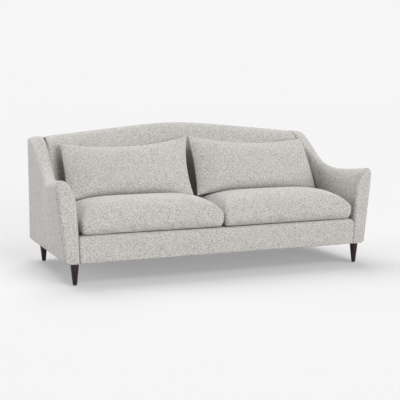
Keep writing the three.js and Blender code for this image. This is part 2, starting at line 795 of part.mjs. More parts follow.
// A cushion's outline at one level: rounded corners, sides drawn in between them
function cushionPlan(a, b, halfWidth, halfDepth, corner) {
  const overX = Math.abs(a) * halfWidth - (halfWidth - corner);
  const overY = Math.abs(b) * halfDepth - (halfDepth - corner);
  let x = a * halfWidth;
  let y = b * halfDepth;
  if (overX > 0 && overY > 0) {
    const pull = Math.max(overX, overY) / Math.hypot(overX, overY);
    x = Math.sign(a) * (halfWidth - corner + overX * pull);
    y = Math.sign(b) * (halfDepth - corner + overY * pull);
  }
  x *= 1 - (seatCushionDrawIn / halfWidth) * (1 - b * b);
  y *= 1 - (seatCushionDrawIn / halfDepth) * (1 - a * a);
  return [x, y];
}

function seatCrown(a, b) {
  const along = b < 0 ? seatCrownFrontCurve : seatCrownRearCurve;
  const acrossShare = 1 - Math.pow(Math.abs(a), seatCrownSideCurve);
  const alongShare = 1 - Math.pow(Math.abs(b), along);
  return Math.sqrt(Math.max(0, acrossShare)) * Math.sqrt(Math.max(0, alongShare));
}

// Inset brings the sides and the top in, lift raises the foot
function seatCushionForm(inset, lift, columns, rows) {
  return formedBox(columns, rows, seatTiers, (column, row, tier) => {
    const a = Math.sin(quarterTurn * (2 * column / columns - 1));
    const b = Math.sin(quarterTurn * (2 * row / rows - 1));
    const angle = quarterTurn * tier / seatTiers;
    const draw = seatCushionFootInset * (1 - Math.sin(angle));
    const halfWidth = seatCushionHalfWidth - inset - draw;
    const halfDepth = seatCushionHalfDepth - inset - draw;
    const [x, y] = cushionPlan(a, b, halfWidth, halfDepth, seatCushionCorner - inset);
    const rim = lift + (seatCushionRim - lift) * (1 - Math.cos(angle));
    const crown = tier === seatTiers ? (seatCushionCrown - inset) * seatCrown(a, b) : 0;
    return [x, y, rim + crown];
  });
}

function addSeatCushion(side, label) {
  const group = new THREE.Group();
  group.position.set(side * seatCushionCentre, seatCushionMiddle, 0);
  seat.add(group);
  const zipHalf = seatZipLength / 2;
  const rearWall = seatCushionHalfDepth - seatCushionDrawIn;
  const slot = block(-zipHalf - fit, zipHalf + fit, rearWall - 2 * overrun, rearWall + 2 * overrun,
    seatZipHeight - fit, seatZipHeight + zipHeight + fit);
  const outer = seatCushionForm(0, 0, seatColumns, seatRows);
  const inner = seatCushionForm(cushionCoverThickness, cushionCoverThickness, seatColumns, seatRows);
  addPiece(group, `seat_cushion_cover_${label}`, cutAway(outer, [inner, slot]), boucle);
  const core = seatCushionForm(seatCoreInset, cushionCoverThickness + fit, coreColumns, coreRows);
  addPiece(group, `seat_cushion_core_${label}`, core, foam);
  const zipFace = rearWall - cushionCoverThickness;
  const zip = block(-zipHalf, zipHalf, zipFace - zipThickness, zipFace, seatZipHeight, seatZipHeight + zipHeight);
  addPiece(group, `seat_cushion_zip_${label}`, zip, nylon);
}

// Back cushions: x across, y through the thickness, z up from the bottom seam

function backCushionForm(inset, foot, edge, bulgeInset, columns, tiers) {
  return formedBox(columns, 1, tiers, (column, row, tier) => {
    const a = Math.sin(quarterTurn * (2 * column / columns - 1));
    const b = Math.sin(quarterTurn * (2 * tier / tiers - 1));
    const height = (b + 1) / 2;
    const headDip = backCushionHeadDip * height * height * (1 - a * a);
    const z = lerp(foot, backCushionLength - inset, height) - headDip;
    const half = backCushionHalf - inset;
    const centre = lerp(backCushionFootCentre, backCushionHeadCentre, height);
    const x = centre + a * (half - backCushionDrawIn * (1 - b * b));
    const fillShare = (1 - Math.pow(Math.abs(a), backCushionFillCurve))
      * (1 - Math.pow(Math.abs(b), backCushionFillCurve));
    const bulge = row === 0 ? -backCushionFrontBulge + bulgeInset : backCushionRearBulge - bulgeInset;
    const wall = row === 0 ? -edge / 2 : edge / 2;
    return [x, wall + bulge * Math.pow(Math.max(0, fillShare), backCushionFillPower), z];
  });
}

// Height of a point above the top of the seat cushions, along the seat's own upright
function heightOverSeat(point) {
  const local = seat.worldToLocal(point.clone());
  const along = (local.y - seatCushionMiddle) / seatCushionHalfDepth;
  const across = (Math.abs(local.x) - seatCushionCentre) / seatCushionHalfWidth;
  if (Math.abs(along) > 1 || Math.abs(across) > 1) {
    return Infinity;
  }
  return local.z - seatCushionRim - seatCushionCrown * seatCrown(across, along);
}

// Brings a back cushion against the back and down on the seat, by turns
function settleBackCushion(group, cover) {
  const corners = cover.geometry.attributes.position;
  for (let pass = 0; pass < settlePasses; pass += 1) {
    group.updateMatrixWorld(true);
    let rearGap = Infinity;
    let seatGap = Infinity;
    for (let i = 0; i < corners.count; i += 1) {
      const point = new THREE.Vector3().fromBufferAttribute(corners, i).applyMatrix4(cover.matrixWorld);
      rearGap = Math.min(rearGap, backFacet(point.x, point.z) - point.y);
      seatGap = Math.min(seatGap, heightOverSeat(point));
    }
    group.position.y += rearGap - cushionContactGap;
    group.position.z -= seatGap - cushionContactGap;
  }
}

function addBackCushion(side, label) {
  const group = new THREE.Group();
  group.position.set(0, seatCushionMiddle, seatFrontHeight + seatCushionRim + seatCushionCrown);
  group.rotation.x = -backCushionLean;
  sofa.add(group);
  const wall = cushionCoverThickness;
  const zipHalf = backZipLength / 2;
  const left = backCushionFootCentre - zipHalf;
  const right = backCushionFootCentre + zipHalf;
  const slot = block(left - fit, right + fit, -zipHeight / 2 - fit, zipHeight / 2 + fit, -overrun, overrun);
  const outer = backCushionForm(0, 0, backCushionEdge, 0, pillowColumns, pillowTiers);
  const inner = backCushionForm(wall, wall, backCushionEdge - 2 * wall, wall, pillowColumns, pillowTiers);
  const shell = handed(side, cutAway(outer, [inner, slot]));
  const cover = addPiece(group, `back_cushion_cover_${label}`, shell, boucle);
  const core = backCushionForm(backCoreInset, wall + fit, backCoreEdge, backCoreInset, coreColumns, coreRows);
  addPiece(group, `back_cushion_core_${label}`, handed(side, core), wadding);
  const zip = handed(side, block(left, right, -zipHeight / 2, zipHeight / 2, 0, wall));
  addPiece(group, `back_cushion_zip_${label}`, zip, nylon);
  settleBackCushion(group, cover);
}

function addSeat() {
  const deck = block(-deckHalf, deckHalf, deckFront, deckRear, -deckThickness - fit, -fit);
  addPiece(seat, 'seat_deck', deck, lining);
  for (const { side, label } of sides) {
    addSprings(side, label);
    addSeatCushion(side, label);
  }
}

// Legs with their plates, bolts and glides, and the dust cover round the plates

function addLeg(label, x, y) {
  const legTop = frameFoot - plateThickness - 2 * fit;
  const boltHoleRadius = boltRadius + 2 * fit;
  const pinHoleRadius = gliderPinRadius + fit;
  const pinHoleTop = gliderHeight + gliderPinHeight + fit;
  const profile = [
    [0, pinHoleTop],
    [pinHoleRadius, pinHoleTop],
    [pinHoleRadius, gliderHeight],
    [legFootRadius - legEdge, gliderHeight],
    [legFootRadius, gliderHeight + legEdge],
    [legTopRadius, legTop - legHeadHeight],
    [legTopRadius, legTop],
    [boltHoleRadius, legTop],
    [boltHoleRadius, legTop - boltIntoLeg - fit],
    [0, legTop - boltIntoLeg - fit],
  ];
  turned(`leg_${label}`, profile, legSides, darkWood, x, y);

  const half = plateSize / 2;
  const cut = half - plateCorner;
  const shape = polygon([
    [-cut, -half], [cut, -half], [half, -cut], [half, cut], [cut, half], [-cut, half], [-half, cut], [-half, -cut],
  ]);
  const hole = [];
  for (let i = 0; i < boltSides; i += 1) {
    const angle = 4 * quarterTurn * i / boltSides;
    hole.push(new THREE.Vector2(Math.cos(angle), Math.sin(angle)).multiplyScalar(boltRadius + 2 * fit));
  }
  shape.holes.push(new THREE.Path(hole));
  const plate = new THREE.ExtrudeGeometry(shape, { depth: plateThickness, bevelEnabled: false });
  addPiece(sofa, `leg_plate_${label}`, plate.translate(x, y, frameFoot - fit - plateThickness), steel);

  const boltProfile = [
    [0, legTop - boltIntoLeg],
    [boltRadius, legTop - boltIntoLeg],
    [boltRadius, frameFoot + boltIntoFrame - overrun],
    [0, frameFoot + boltIntoFrame - overrun],
  ];
  turned(`hanger_bolt_${label}`, boltProfile, boltSides, steel, x, y);

  const gliderTop = gliderHeight - fit;
  const gliderProfile = [
    [0, 0],
    [gliderRadius - gliderEdge, 0],
    [gliderRadius, gliderEdge],
    [gliderRadius, gliderTop],
    [gliderPinRadius, gliderTop],
    [gliderPinRadius, gliderHeight + gliderPinHeight],
    [0, gliderHeight + gliderPinHeight],
  ];
  turned(`glide_${label}`, gliderProfile, gliderSides, nylon, x, y);
}

function turned(name, profile, sideCount, finish, x, y) {
  const points = profile.map(([radius, height]) => new THREE.Vector2(radius, height));
  const geometry = new THREE.LatheGeometry(points, sideCount).rotateX(quarterTurn);
  return addPiece(sofa, name, geometry.translate(x, y, 0), finish);
}

function addUnderside() {
  const top = frameFoot - fit;
  const sheet = block(-dustSheetHalf, dustSheetHalf, dustSheetFront, dustSheetRear, top - dustSheetThickness, top);
  const cutters = [];
  const half = plateSize / 2 + fit;
  for (const { side, label } of sides) {
    for (const [end, [x, y]] of [['front', frontLegPlace], ['rear', rearLegPlace]]) {
      addLeg(`${end}_${label}`, side * x, y);
      cutters.push(block(side * x - half, side * x + half, y - half, y + half, top - overrun, top + overrun));
    }
  }
  addPiece(sofa, 'dust_cover', cutAway(sheet, cutters), lining);
}

const sofa = new THREE.Group();
const seat = new THREE.Group();
seat.position.set(0, 0, seatFrontHeight);
seat.rotation.x = -seatPitch;
sofa.add(seat);
seat.updateMatrixWorld(true);
addFrame();
addSeat();
addBack();
addRailCover();
for (const { side, label } of sides) {
  addArm(side, label);
  addBackCushion(side, label);
}
addUnderside();

// The origin is at the middle of the footprint
const bounds = new THREE.Box3().setFromObject(sofa, true);
sofa.position.y = -(bounds.min.y + bounds.max.y) / 2;

export default sofa;
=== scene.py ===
import math

import bmesh
import bpy
from mathutils import Matrix, Vector


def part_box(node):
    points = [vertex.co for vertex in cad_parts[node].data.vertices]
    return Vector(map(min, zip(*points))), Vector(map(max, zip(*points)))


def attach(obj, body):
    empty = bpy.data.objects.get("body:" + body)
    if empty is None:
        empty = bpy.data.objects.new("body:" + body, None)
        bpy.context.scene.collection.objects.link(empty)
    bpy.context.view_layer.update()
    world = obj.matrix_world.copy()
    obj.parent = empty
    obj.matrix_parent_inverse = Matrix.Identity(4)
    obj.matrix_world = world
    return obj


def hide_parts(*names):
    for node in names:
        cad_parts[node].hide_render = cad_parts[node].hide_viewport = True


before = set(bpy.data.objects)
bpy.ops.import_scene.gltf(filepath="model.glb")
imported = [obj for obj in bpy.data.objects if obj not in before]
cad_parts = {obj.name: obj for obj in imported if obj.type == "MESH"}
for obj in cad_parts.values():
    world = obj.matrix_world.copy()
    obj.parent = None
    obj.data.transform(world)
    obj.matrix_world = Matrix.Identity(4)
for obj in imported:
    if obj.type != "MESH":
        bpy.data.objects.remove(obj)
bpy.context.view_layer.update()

# Sizes in millimetres, y measured from the front face of the arms, as in the part
MM = 0.001
quarter_turn = math.pi / 2
body_depth = 982
underside = 132
arm_inner_half = 923
arm_foot_thickness = 99
arm_front_height = 633
arm_dip_height = 597
shoulder_height = 833
crest_height = 912
cover_thickness = 6
fit = 0.3

front_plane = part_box("outside_back")[1].y / MM - body_depth
to_scene = Matrix.Scale(MM, 4) @ Matrix.Translation((0, front_plane, 0))

# Camera

camera_place = Vector((-2368.1, -5337.7, 1221.5))
camera_pitch = math.radians(82.647)
camera_yaw = math.radians(-22.255)
camera_lens = 85.2
camera_sensor = 36
camera_shift = 0.0059


def add_camera():
    lens = bpy.data.cameras.new("camera")
    lens.sensor_width = camera_sensor
    lens.lens = camera_lens
    lens.shift_x = camera_shift
    camera = bpy.data.objects.new("camera", lens)
    camera.location = to_scene @ camera_place
    camera.rotation_euler = (camera_pitch, 0, camera_yaw)
    bpy.context.scene.collection.objects.link(camera)
    bpy.context.scene.camera = camera


add_camera()

# Shader values


class Value:
    """A shader value: sums, differences and products of it add their Math nodes."""

    def __init__(self, socket):
        self.socket = socket

    def work(self, operation, first, second, clamp=False):
        node = self.socket.id_data.nodes.new("ShaderNodeMath")
        node.operation = operation
        node.use_clamp = clamp
        feed(node.inputs[0], first)
        feed(node.inputs[1], second)
        return Value(node.outputs[0])

    def __add__(self, other):
        return self.work("ADD", self, other)

    __radd__ = __add__

    def __mul__(self, other):
        return self.work("MULTIPLY", self, other)

    __rmul__ = __mul__

    def __sub__(self, other):
        return self.work("SUBTRACT", self, other)

    def __rsub__(self, other):
        return self.work("SUBTRACT", other, self)

    def held(self):
        """The value kept between 0 and 1."""
        return self.work("ADD", self, 0, clamp=True)


def feed(socket, value):
    """Links a shader value to a node's socket, or sets an even value on it."""
    if isinstance(value, Value):
        socket.id_data.links.new(value.socket, socket)
    else:
        socket.default_value = value


class Finish:
    """One material, or the air round the object, built up node by node."""

    def __init__(self, name, tree=None):
        if tree is None:
            self.material = bpy.data.materials.new(name)
            self.material.use_nodes = True
            tree = self.material.node_tree
            tree.nodes.clear()
        self.tree = tree

    def node(self, kind, inputs=None, output=0, **settings):
        """Adds a node: its settings first, then the values or links of its sockets."""
        node = self.tree.nodes.new("ShaderNode" + kind)
        for name, value in settings.items():
            setattr(node, name, value)
        for name, value in (inputs or {}).items():
            feed(node.inputs[name], value)
        return Value(node.outputs[output]) if node.outputs else None

    def place(self, scale=(1, 1, 1)):
        """Object coordinates, stretched."""
        coordinates = self.node("TexCoord", output="Object")
        return self.node("Mapping", {"Vector": coordinates, "Scale": scale})

    def mix(self, share, first, second):
        """A mix of two colours by a share."""
        colours = [value if isinstance(value, Value) else (*value, 1) for value in (first, second)]
        return self.node("Mix", {0: share, 6: colours[0], 7: colours[1]}, output=2, data_type="RGBA")

    def surface(self, colour, height, roughness, lift, strength, **sockets):
        """The finished surface: colour, roughness and relief, and even values on other sockets."""
        relief = self.node("Bump", {"Height": height, "Distance": lift, "Strength": strength})
        inputs = {"Base Color": colour, "Roughness": roughness, "Normal": relief}
        for name, value in sockets.items():
            inputs[name.replace("_", " ")] = value
        shader = self.node("BsdfPrincipled", inputs)
        self.node("OutputMaterial", {"Surface": shader})
        return self.material


# The dark bouclé colour serves both the darker flecks and the painted shade between the nubs
boucle_dark_and_shade = (0.235, 0.224, 0.212)
boucle_light = (0.9, 0.873, 0.836)
boucle_drift = (0.55, 0.532, 0.507)
nub_scale = 225
nub_top = 1.45
nub_slope = 1.9
nub_tone = 0.75
nub_height = 0.8
nub_shift = 0.0046
nub_shift_scale = 300
own_tone_share = 0.14
curl_scale = 560
curl_tone = 0.5
curl_height = 0.35
painted_ground_shade = 0.23
drift_scale = 11
drift_share = 0.08


def boucle_finish():
    """Looped cloth: round nubs, each with its own tone, over a ground painted darker as the shade that
    falls between the loops.
    """
    finish = Finish("boucle")
    place = finish.place()
    shift = finish.node("TexNoise", {"Vector": place, "Scale": nub_shift_scale, "Detail": 2},
                        output="Color")
    place = finish.node("VectorMath", {0: shift, 1: (nub_shift, nub_shift, nub_shift), 2: place},
                        operation="MULTIPLY_ADD")
    cells = {"Vector": place, "Scale": nub_scale, "Randomness": 1}
    nubs = finish.node("TexVoronoi", cells)
    own_tone = finish.node("SeparateColor", {"Color": finish.node("TexVoronoi", cells, output="Color")})
    curls = finish.node("TexNoise", {"Vector": place, "Scale": curl_scale, "Detail": 2,
                                     "Roughness": 0.6})
    drift = finish.node("TexNoise", {"Vector": place, "Scale": drift_scale, "Detail": 2,
                                     "Roughness": 0.5})
    nub = (nub_top - nubs * nub_slope).held()
    # Painted shade: the tone drops between the nubs, where the loops shade each other; the nubs' own
    # tones and the curls vary at random
    tone = nub * nub_tone + own_tone * own_tone_share + curls * curl_tone - painted_ground_shade
    colour = finish.mix(tone.held(), boucle_dark_and_shade, boucle_light)
    colour = finish.mix((drift * drift_share).held(), colour, boucle_drift)
    height = nub * nub_height + curls * curl_height
    return finish.surface(colour, height, roughness=0.95, lift=0.004, strength=0.45,
                          Sheen_Weight=0.08, Sheen_Roughness=0.5)


weave_share = 0.6
slub_share = 0.5


def weave(finish, place, thread, weft_way):
    """Crossing threads, the warp's bands along X."""
    warp = finish.node("TexWave", {"Vector": place, "Scale": thread}, bands_direction="X")
    return warp * finish.node("TexWave", {"Vector": place, "Scale": thread}, bands_direction=weft_way)


def plain_cloth_finish(name, dark, light, thread):
    """A flat woven cloth."""
    finish = Finish(name)
    place = finish.place()
    threads = weave(finish, place, thread, "Y")
    slub = finish.node("TexNoise", {"Vector": place, "Scale": 90, "Detail": 3})
    colour = finish.mix((threads * weave_share + slub * slub_share).held(), dark, light)
    return finish.surface(colour, threads + slub * slub_share, roughness=0.92, lift=0.0006,
                          strength=0.5)


def strap_finish(dark, light):
    """Woven jute strap with thick threads."""
    finish = Finish("webbing")
    place = finish.place()
    threads = weave(finish, place, 150, "Z")
    slub = finish.node("TexNoise", {"Vector": place, "Scale": 60, "Detail": 3})
    colour = finish.mix((threads * weave_share + slub * slub_share).held(), dark, light)
    return finish.surface(colour, threads, roughness=0.9, lift=0.0008, strength=0.6)


def spun_cloth_finish(dark, light):
    """Thin spun cloth with a bonded dot pattern."""
    finish = Finish("spun_cloth")
    place = finish.place()
    dots = finish.node("TexVoronoi", {"Vector": place, "Scale": 320, "Randomness": 0.15})
    fibres = finish.node("TexNoise", {"Vector": place, "Scale": 420, "Detail": 4, "Roughness": 0.7})
    colour = finish.mix((fibres * 0.8 + dots * 0.6).held(), dark, light)
    return finish.surface(colour, dots + fibres, roughness=0.9, lift=0.0004, strength=0.4)


def foam_finish(dark, light, cloudy):
    """Cut foam with open cells."""
    finish = Finish("foam")
    place = finish.place()
    cells = finish.node("TexVoronoi", {"Vector": place, "Scale": 520, "Randomness": 1})
    cloud = finish.node("TexNoise", {"Vector": place, "Scale": 14, "Detail": 3})
    colour = finish.mix((cells * 0.9).held(), dark, light)
    colour = finish.mix((cloud * 0.4).held(), colour, cloudy)
    return finish.surface(colour, cells, roughness=0.9, lift=0.001, strength=0.6)


upright_grain = (1, 1, 0.12)
level_grain = (1, 0.12, 1)


def timber_finish(name, dark, light, ring_scale, roughness, gloss=0.5, coat=0.0):
    """Straight-grained timber: soft rings stretched upwards, and fine pores."""
    finish = Finish(name)
    place = finish.place(scale=upright_grain)
    wander = finish.node("TexNoise", {"Vector": place, "Scale": 7, "Detail": 3})
    rings = finish.node("TexWave", {"Vector": place, "Scale": ring_scale, "Distortion": 5,
                                    "Detail": 3, "Detail Scale": 1.4}, wave_type="RINGS")
    pores = finish.node("TexNoise", {"Vector": place, "Scale": 520, "Detail": 3, "Roughness": 0.7})
    figure = (rings * 0.55 + wander * 0.35 + pores * 0.3).held()
    colour = finish.mix(figure, dark, light)
    shine = (roughness + (pores - 0.5) * 0.25).held()
    return finish.surface(colour, pores * 0.5 + rings * 0.3, roughness=shine, lift=0.0004,
                          strength=0.35, Specular_IOR_Level=gloss, Coat_Weight=coat,
                          Coat_Roughness=0.3)


def board_finish(dark, light):
    """Birch board: veneer with faint figure."""
    finish = Finish("plywood")
    place = finish.place(scale=level_grain)
    figure = finish.node("TexNoise", {"Vector": place, "Scale": 38, "Detail": 4, "Roughness": 0.55})
    pores = finish.node("TexNoise", {"Vector": place, "Scale": 480, "Detail": 2})
    colour = finish.mix((figure * 0.7 + pores * 0.3).held(), dark, light)
    return finish.surface(colour, pores, roughness=0.72, lift=0.0003, strength=0.3)


scuff_depth = 0.3


def steel_finish(name, dark, light, roughness):
    """Plated or tempered steel, with small scuffs."""
    finish = Finish(name)
    place = finish.place()
    scuffs = finish.node("TexNoise", {"Vector": place, "Scale": 160, "Detail": 4, "Roughness": 0.7})
    cloud = finish.node("TexNoise", {"Vector": place, "Scale": 24, "Detail": 2})
    colour = finish.mix((scuffs * 0.6 + cloud * 0.4).held(), dark, light)
    shine = (roughness + (scuffs - 0.5) * scuff_depth).held()
    return finish.surface(colour, scuffs, roughness=shine, lift=0.0002, strength=0.25, Metallic=1.0)


def nylon_finish(name, dark, light, roughness=0.42):
    """Moulded nylon, slightly scuffed."""
    finish = Finish(name)
    place = finish.place()
    scuffs = finish.node("TexNoise", {"Vector": place, "Scale": 220, "Detail": 3})
    colour = finish.mix(scuffs, dark, light)
    shine = (roughness + (scuffs - 0.5) * scuff_depth).held()
    return finish.surface(colour, scuffs, roughness=shine, lift=0.0001, strength=0.2)


finishes = {
    "boucle": boucle_finish(),
    "foam": foam_finish((0.62, 0.52, 0.3), (0.85, 0.78, 0.55), (0.74, 0.66, 0.42)),
    "lining": spun_cloth_finish((0.012, 0.012, 0.013), (0.05, 0.05, 0.053)),
    "webbing": strap_finish((0.2, 0.155, 0.095), (0.47, 0.39, 0.27)),
    "hardwood": timber_finish("hardwood", (0.3, 0.185, 0.09), (0.56, 0.38, 0.21),
                              ring_scale=5, roughness=0.62),
    "plywood": board_finish((0.47, 0.33, 0.18), (0.72, 0.56, 0.36)),
    "dark_wood": timber_finish("dark_stained_wood", (0.012, 0.0055, 0.006), (0.042, 0.02, 0.021),
                               ring_scale=14, roughness=0.36, gloss=0.22, coat=0.06),
    "zinc_steel": steel_finish("zinc_steel", (0.42, 0.42, 0.43), (0.66, 0.66, 0.67),
                               roughness=0.4),
    "spring_steel": steel_finish("spring_steel", (0.12, 0.12, 0.13), (0.3, 0.3, 0.32),
                                 roughness=0.42),
    "glide_nylon": nylon_finish("glide_nylon", (0.014, 0.014, 0.015), (0.035, 0.035, 0.037)),
    "zip_nylon": nylon_finish("zip_nylon", (0.25, 0.24, 0.23), (0.36, 0.35, 0.335)),
    "zip_tape": plain_cloth_finish("zip_tape", (0.3, 0.29, 0.275), (0.46, 0.445, 0.42), thread=700),
    "deck_cloth": plain_cloth_finish("deck_cloth", (0.36, 0.35, 0.33), (0.55, 0.54, 0.51), thread=420),
}

# Making pieces

filling_steps = 20
filling_pressure = 4
shortest_move = 1e-9
nearly = 0.01


def blend(first, second, share):
    """The value at a share of the way from the first to the second."""
    return first + (second - first) * share


def ease(value, low, high):
    """0 up to low, 1 from high on, and a smooth rise between them."""
    share = min(max((value - low) / (high - low), 0), 1)
    return share * share * (3 - 2 * share)


def closer_at_ends(across, share):
    """A place from -1 to 1, with the lines drawn closer together at the ends by a share."""
    return blend(across, math.sin(quarter_turn * across), share)


def formed_block(columns, rows, tiers, place, sewn=None):
    """A block cut into columns, rows and tiers: each corner in its place, the sewn ones marked."""
    block = bmesh.new()
    bmesh.ops.create_cube(block, size=1)
    for axis, count in enumerate((columns, rows, tiers)):
        along = [edge for edge in block.edges
                 if abs(edge.verts[0].co[axis] - edge.verts[1].co[axis]) > 0.5]
        if count > 1:
            bmesh.ops.subdivide_edges(block, edges=along, cuts=count - 1, use_grid_fill=True)
    seam = block.verts.layers.deform.verify() if sewn else None
    for corner in block.verts:
        spot = [part + 0.5 for part in corner.co]
        if sewn and sewn(*spot):
            corner[seam][0] = 1
        corner.co = place(*spot)
    bmesh.ops.recalc_face_normals(block, faces=block.faces)
    return block


def cut_faces(block, unwanted):
    """Takes away the faces for which unwanted(face) is true."""
    faces = [face for face in block.faces if unwanted(face)]
    bmesh.ops.delete(block, geom=faces, context="FACES")


def for_side(block, side):
    """Mirrors a right-hand piece for the left side."""
    if side < 0:
        bmesh.ops.scale(block, vec=(-1, 1, 1), verts=block.verts)
        bmesh.ops.reverse_faces(block, faces=block.faces)
    return block


def add_piece(name, block, slot, body="sofa_frame", stands_for=(), finish=None, place=None):
    """A finished piece: in its place, smooth, with its finish, and riding on its body."""
    block.transform(to_scene @ (place or Matrix()))
    mesh = bpy.data.meshes.new(name)
    block.to_mesh(mesh)
    block.free()
    mesh.polygons.foreach_set("use_smooth", [True] * len(mesh.polygons))
    piece = bpy.data.objects.new(name, mesh)
    bpy.context.scene.collection.objects.link(piece)
    mesh.materials.append(finishes[finish or slot])
    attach(piece, body)
    if stands_for:
        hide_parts(*stands_for)
    return piece


def stuff(piece, frame_of_piece, reach, slack, kept_inside):
    """Fills a cushion: blown up as cloth with its seams held, then kept within reach and its space."""
    scene = bpy.context.scene
    mesh = piece.data
    piece.vertex_groups.new(name="seam")
    cloth = piece.modifiers.new("filling", "CLOTH")
    cloth.settings.quality = 5
    cloth.settings.mass = 0.3
    cloth.settings.tension_stiffness = 12
    cloth.settings.compression_stiffness = 12
    cloth.settings.shear_stiffness = 4
    cloth.settings.bending_stiffness = 0.5
    cloth.settings.shrink_min = -slack
    cloth.settings.use_pressure = True
    cloth.settings.uniform_pressure_force = filling_pressure
    cloth.settings.effector_weights.gravity = 0
    cloth.settings.vertex_group_mass = "seam"
    cloth.point_cache.frame_start = 1
    cloth.point_cache.frame_end = filling_steps
    for step in range(1, filling_steps + 1):
        scene.frame_set(step)
    graph = bpy.context.evaluated_depsgraph_get()
    swollen = piece.evaluated_get(graph).to_mesh()
    to_piece = frame_of_piece.inverted()
    spots = []
    for corner, moved in zip(mesh.vertices, swollen.vertices):
        move = moved.co - corner.co
        spot = corner.co + move * min(1, reach * MM / max(move.length, shortest_move))
        spots.append(frame_of_piece @ kept_inside(to_piece @ spot))
    piece.modifiers.clear()
    for corner, spot in zip(mesh.vertices, spots):
        corner.co = spot
    piece.vertex_groups.clear()
    scene.frame_set(1)


def subdivide(piece):
    finer = piece.modifiers.new("finer", "SUBSURF")
    finer.levels = 1
    finer.render_levels = 1


def give_walls(piece, thickness):
    walls = piece.modifiers.new("cloth_thickness", "SOLIDIFY")
    walls.thickness = thickness * MM
    walls.offset = -1


sides = ((-1, "left"), (1, "right"))

# Arms

arm_sweep_start = 315
arm_sweep_end = 920
arm_dip_place = 380
arm_dip_curve = 1.5
arm_sweep_curve = 1.4
arm_flare = 52
arm_flare_hold = 200
arm_flare_end = 600
arm_inner_flare_share = 0.54
arm_apex_shares = (0.69, 0.2)
arm_inner_drops = (165, 25)
arm_outer_drops = (45, 22)
arm_front_round_depth = 26
arm_front_inner_round = 22
arm_front_outer_round = 22
arm_front_top_round = 18
arm_rear_round = 20
arm_foot_round = 22
arm_rear = 975.7
arm_columns = 26
arm_round_rows = 7
arm_rows = 70
arm_foot_tiers = 5
arm_tiers = 24
arm_window = (10, 960)
arm_window_top = 270.6
arm_rail_rear = 62
arm_rail_top = 284
top_rail_opening = ((865, 940), (668, 822))
arm_foot_margin = 1
facing_down = -0.9
leaning_down = -0.5
facing_sideways = 0.8


def arm_sweep(y):
    """How far the arm has swept up to the shoulder at a place along it."""
    share = min(max((y - arm_sweep_start) / (arm_sweep_end - arm_sweep_start), 0), 1)
    return ease(share ** arm_sweep_curve, 0, 1)


def arm_crest(y):
    """The height of the arm's top line."""
    rise = max(0, 1 - y / arm_dip_place) ** arm_dip_curve
    front = arm_dip_height + (arm_front_height - arm_dip_height) * rise
    return front + (shoulder_height - arm_dip_height) * arm_sweep(y)


def arm_lean(y, z):
    """How far the arm's front flares outwards."""
    hold = 1 - ease(y, arm_flare_hold, arm_flare_end)
    return arm_flare * hold * (z - underside) / (arm_front_height - underside)


def arm_station(row):
    """A place along the arm, and how much of the front and rear rounding is left there."""
    last_middle = arm_rows - arm_round_rows
    if row < arm_round_rows:
        angle = quarter_turn * (1 - row / arm_round_rows)
        return arm_front_round_depth * (1 - math.sin(angle)), 1 - math.cos(angle), 0
    if row > last_middle:
        angle = quarter_turn * (row - last_middle) / arm_round_rows
        return arm_rear - arm_rear_round * (1 - math.sin(angle)), 0, 1 - math.cos(angle)
    share = (row - arm_round_rows) / (last_middle - arm_round_rows)
    return blend(arm_front_round_depth, arm_rear - arm_rear_round, share), 0, 0


def arm_foot_draw(z):
    """How far the rounding of the foot draws the outer side in."""
    reach = min(max((arm_foot_round - (z - underside)) / arm_foot_round, 0), 1)
    return arm_foot_round * (1 - math.sqrt(1 - reach * reach))


def arm_corner(u, v, w):
    """One corner of the arm's upholstery: u from the inner to the outer side, v to the rear, w up."""
    y, front, rear = arm_station(round(v * arm_rows))
    sweep = arm_sweep(y)
    turn = 2 * u - 1
    angle = quarter_turn * abs(turn)
    apex = blend(*arm_apex_shares, sweep)
    drops = arm_inner_drops if turn < 0 else arm_outer_drops
    drop = blend(*drops, sweep) * (1 - math.cos(angle))
    share = apex * (1 - math.sin(angle)) if turn < 0 else blend(apex, 1, math.sin(angle))
    top = arm_crest(y) - front * arm_front_top_round - rear * arm_rear_round - drop
    tier = round(w * arm_tiers)
    if tier <= arm_foot_tiers:
        z = underside + arm_foot_round * (1 - math.cos(quarter_turn * tier / arm_foot_tiers))
    else:
        rise = (tier - arm_foot_tiers) / (arm_tiers - arm_foot_tiers)
        z = blend(underside + arm_foot_round, top, rise)
    lean = arm_lean(y, z)
    inner = arm_inner_half + arm_inner_flare_share * lean + front * arm_front_inner_round
    draw = front * arm_front_outer_round + rear * arm_rear_round + arm_foot_draw(z)
    outer = arm_inner_half + arm_foot_thickness + lean - draw
    return Vector((blend(inner, outer, share), y, z))


def by_top_rail(spot):
    """Whether a place lies where the arched top rail passes through the covers."""
    return all(low < part < high for part, (low, high) in zip(spot.yz, top_rail_opening))


def arm_opening(face):
    """The open foot, and the openings of the inner wall where the seat frame and top rail pass."""
    centre = face.calc_center_median()
    if face.normal.z < facing_down:
        return centre.z < underside + arm_foot_margin
    window_top = arm_window_top if centre.y > arm_rail_rear else arm_rail_top
    by_window = arm_window[0] < centre.y < arm_window[1] and centre.z < window_top
    return face.normal.x < -facing_sideways and (by_window or by_top_rail(centre))


def add_arm(side, label):
    arm = formed_block(arm_columns, arm_rows, arm_tiers, arm_corner)
    cut_faces(arm, arm_opening)
    piece = add_piece(f"arm_upholstery_{label}", for_side(arm, side), "boucle",
                      stands_for=[f"arm_cover_{label}"])
    give_walls(piece, cover_thickness)


# Back

back_half = 922.7
hump_sharpness = 0.2
back_rear = 975.7
back_apex = 915
back_front_drop = 85
back_rear_drop = 50
back_foot_front = 645
back_foot_height = 262
back_rake = 210
back_rake_height = 600
back_rake_curve = 1.6
back_end_round = 9
back_end_drop = 0.5
back_foot_margin = 3
back_column_ease = 0.15
back_columns = 96
back_rows = 20
back_tiers = 22


